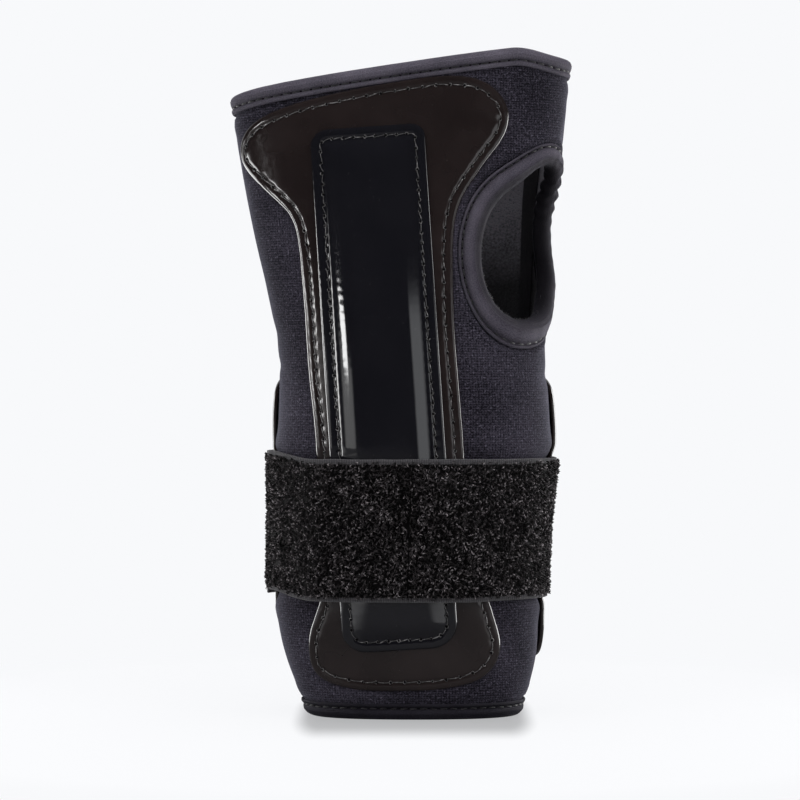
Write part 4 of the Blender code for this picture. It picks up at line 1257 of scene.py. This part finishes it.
def stitched_face(base, thick, stitch_at, pitch, line, puff, seed):
    """A sewn sheet's face: rounded edge, puffed border, a groove with a dimple at each hole."""
    run = run_along(close(line))
    real_pitch = run[-1] / int(round(run[-1] / pitch))

    def top(spots, depth):
        edge = np.sqrt(1 - (1 - np.clip(depth / 0.85, 0, 1)) ** 2)
        off = base + thick * edge
        off += bell(depth, at=stitch_at * 0.45, width=stitch_at * 0.32, height=puff)
        off -= bell(depth, at=stitch_at, width=0.75, height=0.12)
        near = np.abs(depth - stitch_at) < 2.2
        from_line = depth[near] - stitch_at
        along = run[nearest(spots[near], line)[1]] / real_pitch
        beat = 0.5 + 0.5 * np.cos(2 * math.pi * along)
        off[near] -= beat**2 * bell(from_line, at=0, width=0.62, height=0.14)
        off[near] += (1 - beat) * bell(np.abs(from_line), at=1.15, width=0.45, height=0.04)
        return off + 0.05 * noise(spots, size=22, seed=seed) * ease(depth / 5)

    return top


def splint_cover(side, loop_at, node, thread_node, base):
    """A hollow sheet over a splint's plate: its underside follows its face."""
    foot, thick = base + 0.08, COVER_SHEET + 0.25
    line = loop_at(COVER_STITCH)
    face = stitched_face(foot, thick, COVER_STITCH, pitch=3.6, line=line, puff=0.10, seed=51)

    def top(spots, depth):
        """Climbs off the stitch line over the plate's edge, flattening steadily."""
        climb = 1 - (1 - np.clip((depth - 4.0) / 8.0, 0, 1)) ** 2
        return face(spots, depth) + 2.5 * climb * ease((depth - 3.2) / 1.6)

    def low(spots, depth):
        hollow = 0.52 + 6.0 * (1 - ease((depth - 4.2) / 1.6))
        return np.maximum(base - 0.05, top(spots, depth) - hollow)

    sheet(
        f"{side}_splint_sleeve", loop_at, COVER_DEPTHS, top, low, pitch=2.2, material=FILM,
        node=node, slot="gloss_cover",
    )
    stitches(
        f"{side}_cover_stitches", line, thread_node, pitch=3.6, length=3.1,
        off=foot + thick - STITCH_SINK, radius=0.17, slant=0.35,
    )


def build_dorsal():
    """Patch and splint cover on the back of the hand."""

    def on_back(points):
        return np.array([(arc_of_x(x, z), z) for x, z in points])

    outline = relax(even(smooth_loop(on_back(DORSAL_PATCH)), count=820), rounds=30)
    outline = inset(outline, 0.05 * noise(outline, size=1.4, seed=43, octaves=1))
    line = inset(outline, PATCH_STITCH)
    face = stitched_face(
        GAP, PATCH_SHEET, PATCH_STITCH, pitch=4.7, line=line, puff=0.12, seed=41
    )

    def top(spots, depth):
        """The covered middle lies flat; the lobes at the top are a little uneven."""
        lobes = 0.12 * ease((spots[:, 1] - 150) / 50) * noise(spots, size=30, seed=42)
        return face(spots, depth) + lobes * ease((depth - 3.5) / 6)

    sheet(
        "back_patch", lambda depth: inset(outline, depth), PATCH_DEPTHS, top,
        lambda spots, depth: 0.02, pitch=2.6, material=VINYL, node="dorsal_patch",
        slot="gloss_vinyl",
    )
    stitches(
        "back_patch_stitches", line, "dorsal_patch_thread", pitch=4.7, length=4.0,
        off=GAP + PATCH_SHEET - STITCH_SINK, radius=0.19, slant=0.3,
    )

    def cover_loop(by):
        corners = (9.0, 4.5, 6.0, 8.0)
        return on_back(bar_ring((-1.5, 24.0), (-13.0, 200.5), COVER_WIDTH, corners, by))

    splint_cover(
        "back", cover_loop, "dorsal_splint_cover", "dorsal_cover_thread", GAP + PATCH_SHEET
    )


def build_palm():
    """Patch and splint cover on the palm."""
    side = 0.247  # lap from the middle of the palm to the patch's side
    # one half of the outline, up from the bottom: arc from the middle of the palm, z
    half = [
        (0.0, 19.5), (30.0, 19.0), (44.0, 18.5), (side * girth(24) - 0.5, 23.0),
        (side * girth(50), 50.0), (side * girth(75), 75.0), (side * girth(100), 100.0),
        (side * girth(112) - 2, 112.5), (43.0, 119.0), (31.0, 123.5), (24.5, 132.0),
        (22.0, 145.0), (23.0, 160.0), (27.5, 173.0), (28.0, 184.0), (21.0, 192.5),
    ]
    # the lower corner on the little-finger side is cut back so that it stays round the edge
    far = [(arc - (5.0 if z < 45 and arc > 40 else 0.0), z) for arc, z in half]
    both = far + [(0.0, 195.0)] + [(-arc, z) for arc, z in reversed(half[1:])]

    def on_palm(points):
        arc, z = np.array(points).T
        return join(arc + girth(z) / 2, z)

    outline = relax(even(smooth_loop(on_palm(both)), count=760), rounds=20)
    line = inset(outline, PATCH_STITCH)
    base = GAP + 0.1
    face = stitched_face(
        base, PATCH_SHEET, PATCH_STITCH, pitch=4.5, line=line, puff=0.20, seed=61
    )

    def spring(spots):
        """The patch lifts off towards its sides."""
        from_middle = np.abs(spots[..., 0] / girth(spots[..., 1]) - 0.5)
        return np.clip((from_middle - 0.20) / 0.047, 0, 1.1) ** 2 * 0.75

    sheet(
        "palm_patch_sheet", lambda depth: inset(outline, depth), PATCH_DEPTHS,
        lambda spots, depth: face(spots, depth) + spring(spots),
        lambda spots, depth: 0.05 + 0.8 * spring(spots),
        pitch=3.0, material=VINYL, node="palm_patch", slot="gloss_vinyl",
    )
    stitches(
        "palm_patch_stitches", line, "palm_patch_thread", pitch=4.7, length=4.0,
        off=lambda spots: base + PATCH_SHEET - STITCH_SINK + spring(spots),
        radius=0.19, slant=0.3,
    )

    def cover_loop(by):
        corners = (8.0, 8.0, 8.0, 8.0)
        return on_palm(bar_ring((0.0, 27.0), (0.0, 184.0), 36.0, corners, by))

    splint_cover(
        "palm", cover_loop, "palm_splint_cover", "palm_cover_thread", base + PATCH_SHEET
    )


# ---------------------------------------------------------------- strap
STRAP_GIRTH = float(girth(STRAP_BOTTOM + STRAP_WIDTH / 2))
# the cloth pieces meet in the middle of a stiff length, so both sides move alike
CUTS = [ANCHOR_U, 0.0, 0.255, 0.44, END_U]
# for each piece: the bodies before and after its pivot, the pivot's lap, the nodes it stands for
STRAP_PIECES = [
    ("guard", "strap_dorsal", ULNAR_U, ["strap_sewn_end"]),
    ("strap_dorsal", "strap_thumb", THUMB_FRONT_U, ["strap_dorsal_length"]),
    ("strap_thumb", "strap_palm", THUMB_BACK_U, ["strap_thumb_length", "strap_palm_length"]),
    ("strap_palm", "tab", TAB_U, ["strap_tab"]),
]


def strap_point(lap, up, off):
    """A point of the strap: up from its lower edge, off its inner face."""
    lap, up, off = np.broadcast_arrays(lap, up, off)
    stand = STRAP_PATH[0][1]
    for (lap0, off0), (lap1, off1) in zip(STRAP_PATH[:-1], STRAP_PATH[1:], strict=True):
        stand = stand + (off1 - off0) * ease((lap - lap0) / (lap1 - lap0))
    # the strap rides up a little round the little-finger side
    z = STRAP_BOTTOM + up + 2.4 * ease((-lap - 0.13) / 0.10)
    return skin(join(lap * girth(z), z), stand + off)


def bend_over_pivot(obj, piece):
    before, after, pivot, _ = STRAP_PIECES[piece]
    reach = 6.5 / STRAP_GIRTH
    laps = np.array([pivot - reach, pivot + reach])
    start, end = strap_point(laps, STRAP_WIDTH / 2, STRAP_THICK) / 1000
    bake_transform(obj)


def strap_profile():
    """(up, off) round the strap's section: flat inner face, selvedges, stepped pile."""
    inner = [(up, 0.0) for up in np.linspace(STRAP_WIDTH - 0.5, 0.5, 26)]
    selvedge = [
        (0.12, 0.18), (0.0, 0.55), (0.12, 0.92), (0.5, 1.12), (1.2, 1.2), (1.55, 1.25),
        (1.7, 1.45), (2.0, 1.6),
    ]
    bed = [(up, 1.62) for up in np.linspace(2.8, STRAP_WIDTH - 2.8, 52)]
    mirrored = [(STRAP_WIDTH - up, off) for up, off in reversed(selvedge)]
    return np.array(inner + selvedge + bed + mirrored)


def build_strap():
    profile = strap_profile()
    for piece, (start, end) in enumerate(zip(CUTS[:-1], CUTS[1:], strict=True)):
        build_strap_cloth(piece, start, end, profile)
        build_pile(piece, start, end)


def build_strap_cloth(piece, start, end, profile):
    steps = len(profile)
    rows = int((end - start) * STRAP_GIRTH / 0.95) + 1
    lap = np.repeat(np.linspace(start, end, rows), steps)
    up, off = np.tile(profile, (rows, 1)).T
    place = join(lap * STRAP_GIRTH, up)
    pile = (up > 1.8) & (up < STRAP_WIDTH - 1.8) & (off > 1.5)
    rough = 0.26 * noise(place, size=1.5, seed=71, octaves=3)
    rough = (rough + 0.12 * noise(place, size=6.0, seed=72)) * pile
    rough = rough + 0.06 * noise(place, size=2.2, seed=73) * ~pile * (off > 0.3)
    waver = 0.18 * noise(place, size=9.0, seed=74) * ease(np.abs(up / STRAP_WIDTH - 0.5) * 2)
    points = strap_point(lap, up + waver, off + rough)
    next_up, next_off = np.roll(profile, -1, 0).T
    # faces of the bed between the pile take the near-black painted-shade material
    is_bed = (next_up > 1.6) & (next_up < STRAP_WIDTH - 1.6) & (next_off > 1.4)
    ring = np.arange(steps)
    caps = np.stack([ring, (rows - 1) * steps + ring[::-1]])
    obj = make_mesh(
        f"strap_cloth_{piece + 1}",
        points,
        [grid_faces(rows, steps, wrap_columns=True)[:, ::-1], caps],
        [WEBBING, SHADED_BED],
        face_material=np.concatenate([np.tile(is_bed, rows - 1), [0, 0]]),
        uv=join(place[:, 0], np.tile(run_along(profile), rows)),
        tone=0.35 + 0.5 * noise(place, size=1.2, seed=75),
    )
    bend_over_pivot(obj, piece)
    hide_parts(*STRAP_PIECES[piece][3])


def build_pile(piece, start, end):
    """Loops of yarn out of the strap's bed, each with its own lean, size and tone."""
    random = np.random.default_rng(100 + piece)
    per_mm2 = 2.3
    count = int((end - start) * STRAP_GIRTH * (STRAP_WIDTH - 3.4) * per_mm2)
    end_gap = 0.2 / STRAP_GIRTH
    lap = random.uniform(start + end_gap, end - end_gap, count)
    up = random.uniform(1.5, STRAP_WIDTH - 1.5, count)
    place = join(lap * STRAP_GIRTH, up)
    clump = noise(place, size=2.6, seed=80)
    turn = random.normal(math.pi / 2, 0.85, count)
    span = random.uniform(0.6, 1.45, count)
    edge = ease((np.abs(up - STRAP_WIDTH / 2) - 20.6) / 2.2)
    tall = np.clip(0.95 + 0.30 * clump + random.normal(0, 0.26, count), 0.35, 1.6)
    tall = tall * (1 - 0.30 * edge)
    lean = random.normal(0, 0.38, (count, 2))
    lean[:, 1] += np.sign(up - STRAP_WIDTH / 2) * 0.35 * edge
    part = np.linspace(0, 1, 5)
    bow = np.sin(math.pi * part)
    along = (part - 0.5) * span[:, None]
    x = along * np.cos(turn)[:, None] + bow * lean[:, :1]
    y = along * np.sin(turn)[:, None] + bow * lean[:, 1:]
    # loops near the cut ends are drawn in so that none crosses the cut
    reach = np.clip(np.minimum(lap - start, end - lap) * STRAP_GIRTH / 0.9, 0.1, 1)
    lines = strap_point(
        lap[:, None] + x * reach[:, None] / STRAP_GIRTH,
        np.clip(up[:, None] + y, 0.7, STRAP_WIDTH - 0.7),
        1.40 + bow**0.7 * tall[:, None],
    )
    radius = random.uniform(0.12, 0.20, (count, 1)) * np.array([1.0, 1.0, 1.1, 1.0, 1.0])
    patch = noise(place, size=1.15, seed=81, octaves=1)
    tone = random.beta(0.6, 1.15, count) * (1.0 + 0.8 * patch) + 0.06 * clump
    # painted shade: each loop darkens down towards its root among the others
    tone = np.clip(tone, 0.0, 1)[:, None] * (0.05 + 0.95 * bow**1.5)
    sides = 3
    tone = np.repeat(tone.ravel(), sides)
    obj = tubes(f"strap_pile_{piece + 1}", lines, radius, sides, PILE, tone)
    bend_over_pivot(obj, piece)


# ---------------------------------------------------------------- strap ends
HOOKS_START, HOOKS_END = np.linspace(TAB_U, END_U, 9)[[2, 7]]
HOOKS_LOW, HOOKS_HIGH = 3.0, STRAP_WIDTH - 3.0
HOOKS_UNDER = -0.35  # off of the backing's face that carries the hooks


def build_hook_backing():
    columns, rows = 30, 40
    lap = np.linspace(HOOKS_START, HOOKS_END, columns)[:, None]
    up = np.linspace(HOOKS_LOW, HOOKS_HIGH, rows)
    points = np.concatenate([strap_point(lap, up, off) for off in (HOOKS_UNDER, -0.02)])
    low = grid_faces(columns, rows)[:, [0, 3, 2, 1]]
    total = columns * rows
    edge = np.concatenate([
        np.arange(rows - 1),
        np.arange(rows - 1, total - 1, rows),
        total - 1 - np.arange(rows - 1),
        np.arange(columns - 1, 0, -1) * rows,
    ])
    after = np.roll(edge, -1)
    wall = join(edge + total, after + total, after, edge)
    uv = np.vstack([join(lap * STRAP_GIRTH, up).reshape(-1, 2)] * 2)
    faces = [np.vstack([low[:, ::-1], low + total]), wall]
    backing = make_mesh("hook_backing", points, faces, [HOOKS], uv=uv, smooth=False)
    register(backing, "hook_tape", "hook_patch", body="tab")


def build_hooks():
    """Rows of small hooks, bent alternately one way and the other."""
    pitch, start_gap, end_gap = 1.15, 0.8, 0.6
    laps = np.arange(
        HOOKS_START + start_gap / STRAP_GIRTH,
        HOOKS_END - end_gap / STRAP_GIRTH,
        pitch / STRAP_GIRTH,
    )
    ups = np.arange(HOOKS_LOW + start_gap, HOOKS_HIGH - end_gap, pitch)
    lap, up = (grid.reshape(-1, 1) for grid in np.meshgrid(laps, ups, indexing="ij"))
    part = np.linspace(0, 1, 6)
    bend = np.where(np.round(up / pitch).astype(int) % 2 == 0, 1.0, -1.0)
    x = bend * 0.36 * ease((part - 0.45) / 0.55)
    off = HOOKS_UNDER - 0.62 * np.minimum(part / 0.7, 1) + 0.30 * ease((part - 0.72) / 0.28)
    lines = strap_point(lap + x / STRAP_GIRTH, up, off)
    register(tubes("hook_field", lines, 0.09, 4, HOOKS), "hook_tape", body="tab")


def box_stitches(name, laps, ups, body, node, pitch=3.0):
    """Stitches round a rectangle on the strap's outer face."""
    (lap0, lap1), (up0, up1) = laps, ups
    corners = [(lap0, up0), (lap1, up0), (lap1, up1), (lap0, up1)]
    path = []
    for (lap_a, up_a), (lap_b, up_b) in zip(corners, corners[1:] + corners[:1], strict=True):
        steps = int(math.hypot((lap_b - lap_a) * STRAP_GIRTH, up_b - up_a) / 0.5)
        part = np.arange(steps)[:, None] / steps
        start = np.array([[lap_a * STRAP_GIRTH, up_a]])
        path.append(start * (1 - part) + np.array([[lap_b * STRAP_GIRTH, up_b]]) * part)
    path = close(np.vstack(path))
    run = run_along(path)
    count = int(run[-1] / pitch)
    part = np.linspace(0, 1, 7)
    at = (np.arange(count)[:, None] + 0.12 + 0.74 * part) * run[-1] / count
    place = interpolate(at, run, path)
    rise = 2.35 + 0.42 * np.sin(math.pi * part) ** 0.7
    lines = strap_point(place[..., 0] / STRAP_GIRTH, place[..., 1], rise)
    register(tubes(name, lines, 0.30, 6, THREAD), "thread", node, body=body)


def build_strap_ends():
    build_hook_backing()
    build_hooks()
    margin = 2.0
    side = margin / STRAP_GIRTH
    box_stitches(
        "tab_box_stitches", (HOOKS_START + side, HOOKS_END - side),
        (HOOKS_LOW + margin, HOOKS_HIGH - margin), "tab", "hook_patch_thread",
    )
    box_stitches(
        "sewn_end_stitches", (ANCHOR_U + 1.6 / STRAP_GIRTH, ANCHOR_U + 7.0 / STRAP_GIRTH),
        (4.0, STRAP_WIDTH - 4), "guard", "sewn_end_thread",
    )


def dress_frame():
    """Materials for the frame's own pieces that stay."""
    for name, material in (
        ("ulnar_seam_tape", SEAM_TAPE),
        ("thumb_side_seam_tape", SEAM_TAPE),
        ("dorsal_splint", SPLINT),
        ("palm_splint", SPLINT),
    ):
        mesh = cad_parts[name].data
        mesh.materials.clear()
        mesh.materials.append(material)
        for face in mesh.polygons:
            face.material_index = 0


# ---------------------------------------------------------------- floor, light, camera
# the floor's own glow, and the share of it kept in the painted shadow under the object
FLOOR_GLOW, FLOOR_PAINTED_SHADOW = 0.485, 0.16  # the floor's own light, and its share left by the object
BACKDROP = (0.939, 0.947, 0.965)


def floor_material():
    """Shown to the camera, a pale backdrop with a painted shadow round the object; in
    reflections, dimmer grey.
    """
    mat = new_material("pale_floor")
    place = mat.place_mm()
    rays = mat.outputs("ShaderNodeLightPath")
    camera, glossy = rays["Is Camera Ray"], rays["Is Glossy Ray"]
    x, y, z = mat.outputs("ShaderNodeSeparateXYZ", {0: place})

    def beyond(distance, half, fade):
        past = mat.calc("MAXIMUM", mat.minus(distance, half), 0.0)
        return mat.calc("DIVIDE", past, fade)

    # distance from the object's footprint, 1 where its painted shadow ends
    dx = beyond(mat.calc("ABSOLUTE", mat.minus(x, 4.3)), half=31.0, fade=11.0)
    dy = beyond(mat.calc("ABSOLUTE", y), half=14.0, fade=62.0)
    away = mat.calc("SQRT", mat.total((dx, dx), (dy, dy)))
    painted_contact_shadow = mat.span(away, between=(0.0, 1.0), to=(FLOOR_PAINTED_SHADOW, 1.0), smooth=True)
    painted = mat.span(away, between=(0.38, 1.05), to=(0.52, 1.0), smooth=True)

    x2, y2, z2 = (mat.calc("POWER", axis, 2.0) for axis in (x, y, z))
    far = mat.calc("SQRT", mat.plus(x2, mat.plus(y2, z2)))
    even_out = mat.span(far, between=(70.0, 230.0), smooth=True)

    grain = mat.noise(place, scale=0.02)
    pale = mat.shade(grain, (0.59, 0.59, 0.59), (0.61, 0.61, 0.61))
    # the painted contact shadow darkens the floor's colour and scales its glow
    mat.finish(
        Base_Color=mat.mix_colour(painted_contact_shadow, (0.25, 0.25, 0.255, 1), pale),
        Roughness=0.9,
        Specular_IOR_Level=0.1,
    )
    lit = mat.shader.outputs[0]
    glow = mat.emission((0.955, 0.966, 0.985), mat.times(painted_contact_shadow, FLOOR_GLOW))
    glowing = mat.add("ShaderNodeAddShader", {0: lit, 1: glow})
    backdrop = mat.emission(BACKDROP, painted)
    seen = mat.mix_shader(mat.calc("MAXIMUM", even_out, 0.86), glowing, backdrop)

    # reflections see the pale backdrop only behind and well beside the object
    behind = mat.span(y, between=(-60.0, 160.0), smooth=True)
    beside = mat.span(mat.calc("ABSOLUTE", x), between=(80.0, 170.0), smooth=True)
    level = mat.span(y, between=(-320.0, -160.0), smooth=True)
    pale_zone = mat.calc("MAXIMUM", behind, mat.times(beside, level))
    shown = mat.calc("MAXIMUM", camera, mat.times(glossy, pale_zone))
    dimmed = mat.times(glossy, mat.times(mat.minus(1.0, pale_zone), 0.74))
    dark = mat.emission((0.03, 0.03, 0.032))
    mat.show(mat.mix_shader(dimmed, mat.mix_shader(shown, lit, seen), dark))
    return mat.owner


def build_floor():
    """A floor that curves up into a back wall."""
    front, bend_at, radius = -2200, 900, 700
    # y, z of each row
    rows = [(y, 0.0) for y in np.linspace(front, bend_at, 30)]
    for angle in np.linspace(0.1, math.pi / 2, 16):
        rows.append((bend_at + radius * math.sin(angle), radius * (1 - math.cos(angle))))
    rows += [(bend_at + radius, z) for z in np.linspace(900, 4000, 8)]
    columns = np.linspace(-4000, 4000, 30)
    points = np.array([(x, y, z) for y, z in rows for x in columns], float)
    points[:, 2] -= 0.05
    faces = grid_faces(len(rows), len(columns))
    make_mesh("floor", points, [faces], [floor_material()])


def build_world():
    """Dim grey light, darker in reflections, the backdrop's colour to the camera."""
    world = bpy.data.worlds.new("studio")
    bpy.context.scene.world = world
    nodes = Nodes(world)
    rays = nodes.outputs("ShaderNodeLightPath")
    lit, reflected = (0.16, 0.16, 0.18, 1), (0.004, 0.004, 0.0045, 1)
    unseen = nodes.mix_colour(rays["Is Glossy Ray"], lit, reflected)
    seen = nodes.mix_colour(rays["Is Camera Ray"], unseen, (*BACKDROP, 1))
    background = nodes.tree.nodes["Background"]
    nodes.put(background.inputs["Color"], seen)
    nodes.put(background.inputs["Strength"], 1.0)


def soft_box(name, at, look, size, power):
    """A rectangular light that lights without being seen or reflected; metres and watts."""
    light = bpy.data.lights.new(name, "AREA")
    light.shape = "RECTANGLE"
    light.size, light.size_y = size
    light.energy = power
    obj = bpy.data.objects.new(name, light)
    bpy.context.scene.collection.objects.link(obj)
    obj.location = at
    obj.rotation_euler = (Vector(look) - Vector(at)).to_track_quat("-Z", "Y").to_euler()
    obj.visible_camera = False
    obj.visible_glossy = False


def glow_panel(name, azimuth, away, low, high, wide, strength, colour=(1, 1, 1)):
    """An upright panel that only shows in reflections, fading towards its edges.

    In metres; azimuth in degrees from -y towards +x.
    """
    mat = new_material(name)
    generated = mat.add("ShaderNodeTexCoord", out=0)
    x, _, z = mat.outputs("ShaderNodeSeparateXYZ", {0: generated})

    def fade(value, soft):
        edge = mat.calc("MINIMUM", value, mat.minus(1.0, value))
        return mat.span(edge, between=(0.0, soft), smooth=True)

    faded = mat.times(fade(x, soft=0.22), fade(z, soft=0.14))
    mat.show(mat.emission(colour, mat.times(faded, strength)))
    angle = math.radians(azimuth)
    middle = np.array([away * math.sin(angle), -away * math.cos(angle), 0])
    side = np.array([math.cos(angle), math.sin(angle), 0]) * wide / 2
    corners = ((-side, low), (side, low), (side, high), (-side, high))
    points = np.array([middle + across + [0, 0, z] for across, z in corners])
    obj = make_mesh(name, points * 1000, [[[3, 2, 1, 0]]], [mat.owner])
    for ray in ("camera", "diffuse", "shadow", "transmission", "volume_scatter"):
        setattr(obj, f"visible_{ray}", False)


def build_lights():
    soft_box("left_box", at=(-0.95, -0.62, 0.40), look=(0, 0, 0.10), size=(0.5, 0.8), power=3.4)
    soft_box("right_box", at=(0.95, -0.66, 0.48), look=(0, 0, 0.12), size=(0.6, 0.8), power=3.8)
    soft_box("overhead", at=(0.0, -0.15, 1.35), look=(0, 0, 0.1), size=(1.4, 1.1), power=13.6)
    soft_box("front_fill", at=(0.1, -1.4, 0.95), look=(0, 0, 0.16), size=(1.4, 0.9), power=3.6)
    # name, azimuth, away, low, high, wide, strength, colour
    for panel in (
        ("left_glow", -55, 1.12, -0.05, 0.178, 0.80, 1.5),
        ("left_spot", -57, 1.10, 0.125, 0.228, 0.33, 18.0),
        ("right_glow", 39, 1.15, -0.05, 0.412, 0.76, 1.5, (0.95, 0.97, 1.0)),
        ("left_side", -101, 0.20, -0.03, 0.20, 0.17, 11.0),
        ("right_side", 101, 0.20, -0.03, 0.25, 0.17, 14.0),
    ):
        glow_panel(*panel)


def build_camera():
    """Looks along +y at the back of the hand, a little down."""
    camera = bpy.data.cameras.new("camera")
    camera.sensor_width = 36
    camera.lens = 130.5
    camera.clip_end = 50
    obj = bpy.data.objects.new("camera", camera)
    bpy.context.scene.collection.objects.link(obj)
    obj.location = (0.0033, -1.0, 0.115)
    obj.rotation_euler = (math.radians(90 - 0.395), 0, math.radians(0.217))
    bpy.context.scene.camera = obj
    view = bpy.context.scene.view_settings
    view.view_transform = "Standard"
    view.look = "None"
    view.exposure = 0.0
    view.gamma = 1.0


build_sleeve()
build_lining_hairs()
build_dorsal()
build_palm()
build_seams()
build_strap()
build_strap_ends()
dress_frame()
build_floor()
build_world()
build_lights()
build_camera()
